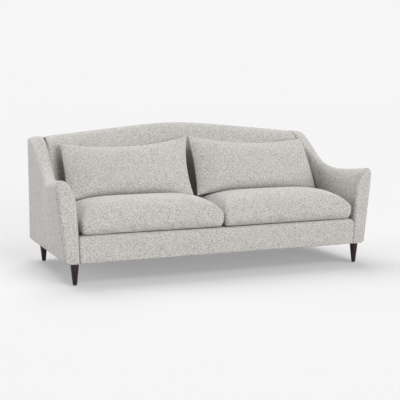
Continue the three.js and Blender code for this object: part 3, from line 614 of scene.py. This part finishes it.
def hump_line(x):
    """The height of the camelback's top line."""
    share = abs(x) / back_half
    bend = math.hypot(share, hump_sharpness) - hump_sharpness
    whole = math.hypot(1, hump_sharpness) - hump_sharpness
    return blend(crest_height, shoulder_height, bend / whole)


def back_front(z):
    """How far back the raked front of the back is."""
    share = max(0, (z - back_foot_height) / back_rake_height)
    return back_foot_front + back_rake * share ** back_rake_curve


def back_corner(u, v, w):
    """One corner of the back's upholstery: u across, v rearwards over the crest, w upwards."""
    across = 2 * u - 1
    x = back_half * closer_at_ends(across, back_column_ease)
    end = max(0, 1 - (back_half - abs(x)) / back_end_round)
    tuck = back_end_round * (1 - math.sqrt(max(0, 1 - end * end)))
    crest = hump_line(x) - tuck * back_end_drop
    turn = 2 * v - 1
    angle = quarter_turn * abs(turn)
    face = back_front(crest - back_front_drop) + tuck
    apex = (back_apex - face) / (back_rear - face)
    share = apex * (1 - math.sin(angle)) if turn < 0 else blend(apex, 1, math.sin(angle))
    drop = (back_front_drop if turn < 0 else back_rear_drop) * (1 - math.cos(angle))
    foot = blend(back_foot_height, underside, share)
    z = blend(foot, crest - drop, w)
    front = back_front(min(z, crest - back_front_drop)) + tuck
    return Vector((x, blend(front, back_rear, share), z))


def back_opening(face):
    """The open foot of the back, and the openings in its ends where the rails pass."""
    centre = face.calc_center_median()
    by_rails = centre.z < back_foot_height or by_top_rail(centre)
    if abs(face.normal.x) > facing_sideways and by_rails:
        return True
    share = (centre.y - back_foot_front) / (back_rear - back_foot_front)
    limit = blend(back_foot_height, underside, share)
    return face.normal.z < leaning_down and centre.z < limit + back_foot_margin


def add_back():
    back = formed_block(back_columns, back_rows, back_tiers, back_corner)
    cut_faces(back, back_opening)
    piece = add_piece("back_upholstery", back, "boucle", stands_for=["back_cover"])
    give_walls(piece, cover_thickness)


outside_half = 1002
outside_corner = 24
outside_drop = 42
outside_thickness = 6
outside_edge = 4
outside_edge_reach = 14
outside_columns = 110
outside_tiers = 44


def outside_place(u, v, w):
    """One corner of the outside back panel, its edges turned in."""
    x = outside_half * (2 * u - 1)
    over = max(0, abs(x) - (outside_half - outside_corner))
    top = hump_line(min(abs(x), back_half)) - outside_drop
    top -= outside_corner - math.sqrt(max(0, outside_corner ** 2 - over ** 2))
    z = blend(underside, top, w)
    edge = min(outside_half - abs(x), z - underside, top - z)
    roll = outside_edge * (1 - ease(edge, 0, outside_edge_reach)) if v > 0.5 else 0
    return Vector((x, body_depth - outside_thickness * (1 - v) - roll, z))


def add_outside_back():
    panel = formed_block(outside_columns, 1, outside_tiers, outside_place)
    add_piece("outside_back_panel", panel, "boucle", stands_for=["outside_back"])


# Front border under the seat cushions

border_face = 3
border_top = 297
border_reach = 45
border_round = 24
border_front_padding = 11.5
border_top_padding = 17.5
border_half = 934
border_end_round = 25
border_arm_gap = 1.6
border_sag = 3.5
border_columns = 120
border_column_ease = 0.1
border_run_rows = 26


def arm_face(y, z):
    """How far out the arm's inner face is, with its rounded front corner."""
    depth = min(max(1 - y / arm_front_round_depth, 0), 1)
    corner = arm_front_inner_round * (1 - math.sqrt(1 - depth * depth))
    return arm_inner_half + arm_inner_flare_share * arm_lean(y, z) + corner


def border_path(w):
    """Outer and inner place in y and z, from the foot of the face, up and over to the rear edge."""
    face_length = border_top - border_round - underside
    arc_length = quarter_turn * border_round
    top_length = border_reach - border_face - border_round
    run = w * (face_length + arc_length + top_length)
    inner_top = border_top - border_top_padding
    inner_face = border_face + border_front_padding
    if run < face_length:
        z = underside + run
        return (border_face, z), (inner_face, min(z, inner_top))
    if run < face_length + arc_length:
        angle = (run - face_length) / border_round
        outer = (border_face + border_round * (1 - math.cos(angle)),
                 border_top - border_round * (1 - math.sin(angle)))
        inner_y = blend(inner_face, border_face + border_round, angle / quarter_turn)
        return outer, (inner_y, inner_top)
    y = border_face + border_round + run - face_length - arc_length
    return (y, border_top), (y, inner_top)


def border_corner(u, v, w):
    """One corner of the border: u across, v from the face inwards, w along its path."""
    outer, inner = border_path(w)
    y = blend(outer[0], inner[0], v)
    z = blend(outer[1], inner[1], v)
    over = max(0, z - (border_top - border_end_round))
    half = border_half - border_end_round + math.sqrt(max(0, border_end_round ** 2 - over ** 2))
    half = min(half, arm_face(y, z) - border_arm_gap)
    across = closer_at_ends(2 * u - 1, border_column_ease)
    x = half * across
    z -= border_sag * (1 - v) * (1 - across * across) * (z - underside) / (border_top - underside)
    return Vector((x, y, z))


def add_border():
    border = formed_block(border_columns, 2, border_run_rows, border_corner)
    add_piece("front_border", border, "boucle", stands_for=["front_rail_cover"])


# Seat plane and its deck

seat_front_height = 300
seat_pitch = math.radians(2.5)
seat_place = Matrix.Translation((0, 0, seat_front_height)) @ Matrix.Rotation(-seat_pitch, 4, "X")
deck_thickness = 20
deck_front = 46.5
deck_rear = 636
deck_half = 918
deck_edge = 7
deck_edge_reach = 16
deck_channels = (6, 3)
deck_channel_depth = 2.2
deck_channel_width = 0.4
deck_columns = 144
deck_rows = 54
deck_tiers = 3


def deck_corner(u, v, w):
    """One corner of the padded deck, its top quilted in channels."""
    x = deck_half * (2 * u - 1)
    y = blend(deck_front, deck_rear, v)
    edge = min(deck_half - abs(x), y - deck_front, deck_rear - y)
    channel = math.prod(abs(math.sin(math.pi * count * part)) ** deck_channel_width
                        for count, part in zip(deck_channels, (u, v)))
    z = -deck_thickness * (1 - w) - fit
    if w > 0.5:
        z -= deck_edge * (1 - ease(edge, 0, deck_edge_reach)) + deck_channel_depth * (1 - channel)
    return Vector((x, y, z))


def add_deck():
    deck = formed_block(deck_columns, deck_rows, deck_tiers, deck_corner)
    piece = add_piece("seat_deck_pad", deck, "lining", stands_for=["seat_deck"],
                      finish="deck_cloth", place=seat_place)


# Foam pads inside the arms and the back

arm_pad_front = 90
arm_pad_rear = 640
arm_pad_foot_gap = 2.5
arm_pad_top_gap = 14
arm_pad_skin_gap = 0.7
arm_pad_thickness = 14
arm_pad_edge = 3
arm_pad_edge_reach = 20
arm_pad_cuts = (2, 40, 18)
back_pad_half = 915
back_pad_foot = 264
back_pad_top = 740
back_pad_skin_gap = 2
back_pad_thickness = 30
back_pad_thinnest = 12
back_pad_rear = 887
back_pad_edge = 4
back_pad_edge_reach = 25
back_pad_cuts = (60, 2, 24)


def add_arm_pad(side, label):
    """Foam behind an arm's inner cover."""

    def place(u, v, w):
        y = blend(arm_pad_front, arm_pad_rear, v)
        top = arm_crest(y) - blend(*arm_inner_drops, arm_sweep(y)) - arm_pad_top_gap
        z = blend(arm_window_top + arm_pad_foot_gap, top, w)
        edge = min(y - arm_pad_front, arm_pad_rear - y)
        soft = arm_pad_edge * (1 - ease(edge, 0, arm_pad_edge_reach)) * u
        skin = arm_inner_half + cover_thickness + arm_inner_flare_share * arm_lean(y, z)
        return Vector((skin + arm_pad_skin_gap + u * arm_pad_thickness - soft, y, z))

    pad = formed_block(*arm_pad_cuts, place)
    piece = add_piece(f"arm_foam_{label}", for_side(pad, side), "foam", stands_for=[f"arm_pad_{label}"])


def add_back_pad():
    """Foam behind the front of the back's cover."""

    def place(u, v, w):
        x = back_pad_half * (2 * u - 1)
        z = blend(back_pad_foot, back_pad_top, w)
        front = back_front(z) + cover_thickness + back_pad_skin_gap
        rear = max(min(front + back_pad_thickness, back_pad_rear), front + back_pad_thinnest)
        edge = min(back_pad_half - abs(x), z - back_pad_foot, back_pad_top - z)
        soft = back_pad_edge * (1 - ease(edge, 0, back_pad_edge_reach))
        return Vector((x, blend(front + soft, rear, v), z))

    pad = formed_block(*back_pad_cuts, place)
    piece = add_piece("back_foam", pad, "foam", stands_for=["back_pad"])


# Seat cushions

seat_inner = {"left": -2, "right": 2.6}
seat_outer = 918
seat_front = -10
seat_rear = 634
seat_rim = 80
seat_crown = 124
seat_foot_inset = 45
seat_foot_end_share = 0.42
seat_foot_front_share = 0.75
seat_corner = 28
seat_draw_in = 6
seat_crown_side = 4.4
seat_crown_front = 3.2
seat_crown_rear = 1.6
seat_crown_inside = 0.98
seat_columns = 60
seat_rows = 42
seat_tiers = 9
seat_slack = 4
seat_cover_slack = 0.02
seat_reach = 6
seat_zip_band = (0.5, 0.7)
seat_zip_reach = 0.56
gather = 0.3


def seat_plan(a, b, half_width, half_depth):
    """A place on a seat cushion's outline: round corners, and sides drawn in between them."""
    over_x = abs(a) * half_width - (half_width - seat_corner)
    over_y = abs(b) * half_depth - (half_depth - seat_corner)
    x = a * half_width
    y = b * half_depth
    if over_x > 0 and over_y > 0:
        pull = max(over_x, over_y) / math.hypot(over_x, over_y)
        x = math.copysign(half_width - seat_corner + over_x * pull, a)
        y = math.copysign(half_depth - seat_corner + over_y * pull, b)
    x *= 1 - (seat_draw_in / half_width) * (1 - b * b)
    y *= 1 - (seat_draw_in / half_depth) * (1 - a * a)
    return x, y


def seat_crown_share(a, b):
    """How much of the crown stands over a place on the cushion."""
    along = seat_crown_front if b < 0 else seat_crown_rear
    across_share = 1 - abs(a) ** seat_crown_side
    along_share = 1 - abs(b) ** along
    return math.sqrt(max(0, across_share)) * math.sqrt(max(0, along_share))


def seat_height(x, y, half_width, half_depth):
    """How high a seat cushion is over the deck, in its own frame."""
    a, b = min(1, abs(x / half_width)), min(1, max(-1, y / half_depth))
    return seat_rim + seat_crown * seat_crown_share(seat_crown_inside * a, seat_crown_inside * b)


def gathered(share):
    """A place from -1 to 1, with the lines drawn a little closer to the edges."""
    turn = 2 * share - 1
    return turn * (1 + gather - gather * turn * turn)


def seat_space(side, label):
    """A seat cushion's half width and half depth, and its own frame."""
    half_width = (seat_outer - seat_inner[label]) / 2
    half_depth = (seat_rear - seat_front) / 2
    centre = (side * (seat_outer + seat_inner[label]) / 2, (seat_front + seat_rear) / 2, 0)
    return half_width, half_depth, seat_place @ Matrix.Translation(centre)


def add_seat_cushion(side, label):
    half_width, half_depth, spot = seat_space(side, label)
    crown_height = seat_crown - seat_slack

    def place(u, v, w):
        a, b = gathered(u), gathered(v)
        angle = quarter_turn * w
        draw = seat_foot_inset * (1 - math.sin(angle))
        x, y = seat_plan(a, b, half_width - draw * seat_foot_end_share,
                         half_depth - draw * seat_foot_front_share)
        rim = seat_rim * (1 - math.cos(angle))
        crown = crown_height * seat_crown_share(a, b) if w > 1 - nearly else 0
        return Vector((x, y, rim + crown))

    def sewn(u, v, w):
        in_band = seat_zip_band[0] < w < seat_zip_band[1]
        by_zip = v == 1 and in_band and abs(gathered(u)) < seat_zip_reach
        return w < nearly or by_zip or w > 1 - nearly and (u in (0, 1) or v in (0, 1))

    def kept_inside(corner):
        x = min(max(corner.x, -half_width), half_width)
        y = min(max(corner.y, -half_depth), half_depth)
        return Vector((x, y, min(max(corner.z, 0), seat_height(x, y, half_width, half_depth))))

    cushion = formed_block(seat_columns, seat_rows, seat_tiers, place, sewn)
    piece = add_piece(f"seat_cushion_{label}", cushion, "boucle", body=f"seat_cushion_{label}",
                      stands_for=[f"seat_cushion_cover_{label}", f"seat_cushion_core_{label}"],
                      place=spot)
    stuff(piece, to_scene @ spot, seat_reach, seat_cover_slack, kept_inside)
    subdivide(piece)


# Back cushions

pillow_place = Matrix.Translation((0, 503.15, 460.64)) @ Matrix.Rotation(math.radians(-33), 4, "X")
pillow_length = 412
pillow_spread = {
    "left": {"head": (412.5, 446.5), "foot": (441.5, 430.5), "fall": 15.5, "inner": 26, "outer": 2},
    "right": {"head": (473, 436), "foot": (464, 451), "fall": 22, "inner": 16, "outer": -7},
}
pillow_edge = 13
pillow_front_bulge = 88
pillow_rear_bulge = 108
pillow_head_dip = 50
pillow_foot_droop = 27
pillow_droop_power = 4
pillow_fill_across = 2.4
pillow_fill_head = 2
pillow_fill_foot = 6
pillow_fill_power = 0.7
pillow_columns = 64
pillow_tiers = 32
pillow_zip_recess = 5
pillow_zip_centre = 455
pillow_zip_ease = (216, 340)
pillow_slack = 8
pillow_cover_slack = 0
pillow_reach = 14
pillow_seat_gap = 0.6


def add_back_cushion(side, label):
    inset = pillow_slack
    head_centre, head_half = pillow_spread[label]["head"]
    foot_centre, foot_half = pillow_spread[label]["foot"]
    head_fall = pillow_spread[label]["fall"]

    def place(u, v, w):
        a, b = gathered(u), gathered(w)
        height = (b + 1) / 2
        head = pillow_length - head_fall * a - pillow_head_dip * (1 - a * a)
        foot = -pillow_foot_droop * a ** pillow_droop_power
        from_zip = abs(foot_centre + a * foot_half - pillow_zip_centre)
        foot += pillow_zip_recess * (1 - ease(from_zip, *pillow_zip_ease))
        z = blend(foot, head, height)
        centre = blend(foot_centre, head_centre, height)
        half = blend(foot_half, head_half, height)
        draw = pillow_spread[label]["outer" if a > 0 else "inner"]
        x = centre + a * (half - abs(a) * draw * (1 - b * b))
        upright = pillow_fill_head if b > 0 else pillow_fill_foot
        share = (1 - abs(a) ** pillow_fill_across) * (1 - abs(b) ** upright)
        fill = max(0, share) ** pillow_fill_power
        front = -pillow_edge / 2 - (pillow_front_bulge - inset) * fill
        rear = pillow_edge / 2 + (pillow_rear_bulge - inset) * fill
        return Vector((x, blend(front, rear, v), z))

    def sewn(u, v, w):
        return u in (0, 1) or w in (0, 1)

    cushion = formed_block(pillow_columns, 2, pillow_tiers, place, sewn)
    piece = add_piece(f"back_cushion_{label}", for_side(cushion, side), "boucle",
                      body=f"back_cushion_{label}",
                      stands_for=[f"back_cushion_cover_{label}", f"back_cushion_core_{label}"],
                      place=pillow_place)
    seat_width, seat_depth, seat_spot = seat_space(side, label)
    to_seat = seat_spot.inverted() @ pillow_place

    def kept_off_seat(corner):
        over = to_seat @ corner
        over.z = max(over.z, seat_height(over.x, over.y, seat_width, seat_depth) + pillow_seat_gap)
        return to_seat.inverted() @ over

    stuff(piece, to_scene @ pillow_place, pillow_reach, pillow_cover_slack, kept_off_seat)
    subdivide(piece)


# Zips

zip_pitch = 3
zip_tape = (7, 0.8)
zip_tape_gap = 0.3
zip_tape_edge = 0.2
zip_tooth = (1.6, 2.6, 1.3)
zip_tooth_spread = 0.36
zip_tooth_lift = 0.05
zip_slider = (11, 6.4, 3)
zip_slider_edge = 0.8
zip_loop = (5, 1.4, 1.6)
zip_loop_lift = 0.6
zip_tab = (19, 4.4, 0.9)
zip_tab_lift = 1
zip_tab_edge = 0.4
zip_stop = (3, 5, 2)
zip_stop_edge = 0.5
zip_end_gap = 8
seat_zip_length = 480
seat_zip_centre = 462.5
seat_zip_height = 33
seat_zip_face = 625.8
seat_zip_tilt = math.radians(-22)
back_zip_length = 420
back_zip_inset = 2


def add_block(work, size, centre, edge_width=0):
    """Adds a block, its edges bevelled where a width is given."""
    made = bmesh.ops.create_cube(work, size=1)["verts"]
    bmesh.ops.scale(work, vec=size, verts=made)
    bmesh.ops.translate(work, vec=centre, verts=made)
    if edge_width:
        edges = dict.fromkeys(edge for corner in made for edge in corner.link_edges)
        bmesh.ops.bevel(work, geom=list(edges), offset=edge_width, segments=2, affect="EDGES",
                        profile=0.5, material=-1)


def add_zip(name, length, node, body, place):
    """A zip along x facing up: its tape, its teeth and its slider with a pull tab."""
    tape_width, tape_thickness = zip_tape
    tape = bmesh.new()
    for way in (-1, 1):
        add_block(tape, (length, (tape_width - zip_tape_gap) / 2, tape_thickness),
                  (0, way * tape_width / 4, -tape_thickness / 2), zip_tape_edge)
    add_piece(f"{name}_tape", tape, "zip_nylon", body=body, stands_for=[node], finish="zip_tape",
              place=place)
    teeth = bmesh.new()
    count = int((length - 2 * zip_end_gap) / zip_pitch)
    start = -zip_pitch * (count - 1) / 2
    for step in range(count):
        for way in (-1, 1):
            x = start + step * zip_pitch + way * zip_pitch / 4
            add_block(teeth, zip_tooth, (x, way * zip_tooth[1] * zip_tooth_spread,
                                         zip_tooth[2] / 2 + zip_tooth_lift))
    add_piece(f"{name}_teeth", teeth, "zip_nylon", body=body, place=place)
    slider = bmesh.new()
    at = length / 2 - zip_end_gap - zip_slider[0] / 2
    top = zip_slider[2]
    add_block(slider, zip_slider, (at, 0, top / 2), zip_slider_edge)
    add_block(slider, zip_loop, (at, 0, top + zip_loop_lift), zip_tab_edge)
    add_block(slider, zip_tab, (at - zip_tab[0] / 2, 0, top + zip_tab_lift), zip_tab_edge)
    for way in (-1, 1):
        add_block(slider, zip_stop, (way * (length - zip_end_gap) / 2, 0, zip_stop[2] / 2),
                  zip_stop_edge)
    add_piece(f"{name}_slider", slider, "zinc_steel", body=body, place=place)


def add_zips(side, label):
    spot = Matrix.Translation((side * seat_zip_centre, seat_zip_face, seat_zip_height))
    turn = Matrix.Rotation(seat_zip_tilt - quarter_turn, 4, "X")
    add_zip(f"seat_zip_{label}", seat_zip_length, f"seat_cushion_zip_{label}",
            f"seat_cushion_{label}", seat_place @ spot @ turn)
    spot = Matrix.Translation((side * pillow_zip_centre, 0, pillow_zip_recess - back_zip_inset))
    turn = Matrix.Rotation(math.pi, 4, "X")
    add_zip(f"back_zip_{label}", back_zip_length, f"back_cushion_zip_{label}",
            f"back_cushion_{label}", pillow_place @ spot @ turn)


# Legs and glides, each profile half an outline: the radius and height of its corners

leg_places = {"front": (956, 36), "rear": (951, 857)}
leg_foot = 6
leg_top = 131.7
leg_radius = 25
leg_bore = 4.1
leg_bore_foot = 99.4
leg_edge = 0.6
leg_profile = [(0, leg_foot), (12.2, leg_foot), (13.5, leg_foot + 1.6),
               (leg_radius, leg_top - 15.5), (leg_radius, leg_top - 1.2), (leg_radius - 1, leg_top),
               (leg_bore, leg_top), (leg_bore, leg_bore_foot), (0, leg_bore_foot)]
glide_top = 5.7
glide_radius = 11
glide_edge = 0.4
glide_profile = [(0, 0), (glide_radius - 1.4, 0), (glide_radius, 1.4), (glide_radius, glide_top),
                 (0, glide_top)]
turning_steps = 48
merge_reach = 0.01
soft_edge_angle = math.radians(28)


def turned(profile, x, y):
    """A turned piece: its half outline spun about its upright axis."""
    work = bmesh.new()
    corners = [work.verts.new((radius, 0, height)) for radius, height in profile]
    edges = [work.edges.new(pair) for pair in zip(corners, corners[1:])]
    bmesh.ops.spin(work, geom=corners + edges, cent=(0, 0, 0), axis=(0, 0, 1), dvec=(0, 0, 0),
                   angle=2 * math.pi, steps=turning_steps, use_merge=True)
    bmesh.ops.remove_doubles(work, verts=work.verts, dist=merge_reach)
    bmesh.ops.recalc_face_normals(work, faces=work.faces)
    bmesh.ops.translate(work, vec=(x, y, 0), verts=work.verts)
    return work


def soften_edges(piece, width):
    bevel = piece.modifiers.new("soft_edges", "BEVEL")
    bevel.width = width * MM
    bevel.segments = 3
    bevel.limit_method = "ANGLE"
    bevel.angle_limit = soft_edge_angle


def add_leg(end, side, label):
    x, y = leg_places[end]
    leg = add_piece(f"turned_leg_{end}_{label}", turned(leg_profile, side * x, y), "dark_wood",
                    stands_for=[f"leg_{end}_{label}"])
    soften_edges(leg, leg_edge)
    glide = add_piece(f"foot_glide_{end}_{label}", turned(glide_profile, side * x, y),
                      "glide_nylon", stands_for=[f"glide_{end}_{label}"])
    soften_edges(glide, glide_edge)


# Dust cover

dust_half = 985
dust_front = 16
dust_rear = 955
dust_height = 134.2
dust_thickness = 0.6
dust_sag = 1.6
dust_sag_reach = (60, 300)
dust_columns = 80
dust_rows = 40
plate_half = 20
plate_gap = 0.6
staple_pitch = 46
staple_inset = 7
staple_size = (10, 0.9, 0.7)
staple_leg_gap = 32


def by_leg(x, y, reach):
    """Whether a place is within reach of a leg's centre, across and along."""
    return any(abs(abs(x) - leg_x) < reach and abs(y - leg_y) < reach
               for leg_x, leg_y in leg_places.values())


def add_dust_cover():
    """The sheet under the frame, cut away round the leg plates."""
    sheet = bmesh.new()
    bmesh.ops.create_grid(sheet, x_segments=dust_columns, y_segments=dust_rows, size=0.5)
    for corner in sheet.verts:
        u, v = corner.co.x + 0.5, corner.co.y + 0.5
        corner.co = Vector((dust_half * (2 * u - 1), blend(dust_front, dust_rear, v), dust_height))
    reach = plate_half + plate_gap
    for x, y in leg_places.values():
        cuts = [((way * x + step, 0, 0), (1, 0, 0)) for way in (-1, 1) for step in (-reach, reach)]
        cuts += [((0, y + step, 0), (0, 1, 0)) for step in (-reach, reach)]
        for spot, way in cuts:
            bmesh.ops.bisect_plane(sheet, geom=[*sheet.verts, *sheet.edges, *sheet.faces],
                                   dist=merge_reach, plane_co=spot, plane_no=way)
    front_x, front_y = leg_places["front"]

    def over_plate(face):
        centre = face.calc_center_median()
        in_corner = abs(centre.x) > front_x - reach and centre.y < front_y + reach
        return in_corner or by_leg(centre.x, centre.y, reach)

    cut_faces(sheet, over_plate)
    for corner in sheet.verts:
        edge = min(dust_half - abs(corner.co.x), corner.co.y - dust_front, dust_rear - corner.co.y)
        corner.co.z -= dust_sag * ease(edge, *dust_sag_reach)
    bmesh.ops.reverse_faces(sheet, faces=sheet.faces)
    piece = add_piece("dust_sheet", sheet, "lining", stands_for=["dust_cover"])
    give_walls(piece, dust_thickness)
    cut_away = 2 * (2 * reach) ** 2 + 2 * (dust_half - front_x + reach) * (front_y + reach - dust_front)
    (2 * dust_half * (dust_rear - dust_front) - cut_away) * MM * MM


def add_staples():
    """Staples along the edges of the dust cover."""
    work = bmesh.new()
    length, width, thickness = staple_size
    z = dust_height - dust_thickness - thickness / 2
    half = dust_half - staple_inset
    front, rear = dust_front + staple_inset, dust_rear - staple_inset
    across = int(2 * half / staple_pitch)
    along = int((rear - front) / staple_pitch)
    spots = [(blend(-half, half, (step + 0.5) / across), y, (length, width, thickness))
             for step in range(across) for y in (front, rear)]
    spots += [(x, blend(front, rear, (step + 0.5) / along), (width, length, thickness))
              for step in range(along) for x in (-half, half)]
    for x, y, size in spots:
        if not by_leg(x, y, staple_leg_gap):
            add_block(work, size, (x, y, z))
    add_piece("dust_cover_staples", work, "spring_steel")


# Finishes of the pieces that keep their shape

kept_pieces = {
    "hardwood": ("front_rail", "rear_seat_rail", "back_rail", "side_rail", "centre_stretcher",
                 "top_rail", "back_stile", "front_post", "rear_post", "front_corner_block",
                 "rear_corner_block"),
    "plywood": ("arm_panel",),
    "webbing": ("back_webbing",),
    "spring_steel": ("seat_springs",),
    "zinc_steel": ("leg_plate", "hanger_bolt"),
}


def dress_kept_pieces():
    for name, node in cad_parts.items():
        for slot, starts in kept_pieces.items():
            if name.startswith(starts) and not name.startswith("front_rail_cover"):
                node.data.materials.clear()
                node.data.materials.append(finishes[slot])


# Floor, light and background

background = 0.921
floor_half = 30
floor_colour = 0.53
floor_glow = 0.288
ambient = 0.06
suns = {
    "front_light": ((0.2562, -0.9562, 0.1392), 2.15, 30),
    "high_light": ((0.35, -0.6, 0.72), 1.1, 45),
    "side_light": ((-0.8774, 0.4471, 0.1736), 2.1, 40),
    "rear_light": ((0, 0.6, 0.8), 2.55, 50),
}


def seen_rays(finish):
    """1 for rays that the eye sees: straight, mirrored or through glass."""
    kinds = [finish.node("LightPath", output=kind)
             for kind in ("Is Camera Ray", "Is Glossy Ray", "Is Transmission Ray")]
    return (kinds[0] + kinds[1] + kinds[2]).held()


def add_floor():
    sheet = bmesh.new()
    bmesh.ops.create_grid(sheet, x_segments=1, y_segments=1, size=floor_half)
    mesh = bpy.data.meshes.new("floor")
    sheet.to_mesh(mesh)
    sheet.free()
    floor = bpy.data.objects.new("floor", mesh)
    bpy.context.scene.collection.objects.link(floor)
    finish = Finish("floor")
    paint = finish.node("BsdfDiffuse", {"Color": (floor_colour, floor_colour, floor_colour, 1)})
    glow = finish.node("Emission", {"Color": (1, 1, 1, 1), "Strength": floor_glow})
    rays = seen_rays(finish)
    none = finish.node("Emission", {"Strength": 0.0})
    seen = finish.node("MixShader", {0: rays, 1: none, 2: glow})
    both = finish.node("AddShader", {0: paint, 1: seen})
    finish.node("OutputMaterial", {"Surface": both})
    mesh.materials.append(finish.material)


def add_sun(name, direction, strength, angle):
    """A sun that shines from a direction, as wide as its angle in degrees."""
    light = bpy.data.lights.new(name, "SUN")
    light.energy = strength
    light.angle = math.radians(angle)
    sun = bpy.data.objects.new(name, light)
    sun.rotation_euler = Vector(direction).to_track_quat("Z", "Y").to_euler()
    bpy.context.scene.collection.objects.link(sun)


def add_world():
    world = bpy.data.worlds.new("studio")
    bpy.context.scene.world = world
    world.use_nodes = True
    world.node_tree.nodes.clear()
    air = Finish("air", world.node_tree)
    seen = air.node("Background", {"Color": (background, background, background, 1)})
    fill = air.node("Background", {"Color": (ambient, ambient, ambient, 1)})
    both = air.node("MixShader", {0: seen_rays(air), 1: fill, 2: seen})
    air.node("OutputWorld", {"Surface": both})


for side, label in sides:
    add_arm(side, label)
    add_arm_pad(side, label)
    add_seat_cushion(side, label)
    add_back_cushion(side, label)
    add_zips(side, label)
    for end in leg_places:
        add_leg(end, side, label)
add_back()
add_back_pad()
add_outside_back()
add_border()
add_deck()
add_dust_cover()
add_staples()
dress_kept_pieces()
add_floor()
for name, (direction, strength, angle) in suns.items():
    add_sun(name, direction, strength, angle)
add_world()
bpy.context.scene.view_settings.view_transform = "Standard"
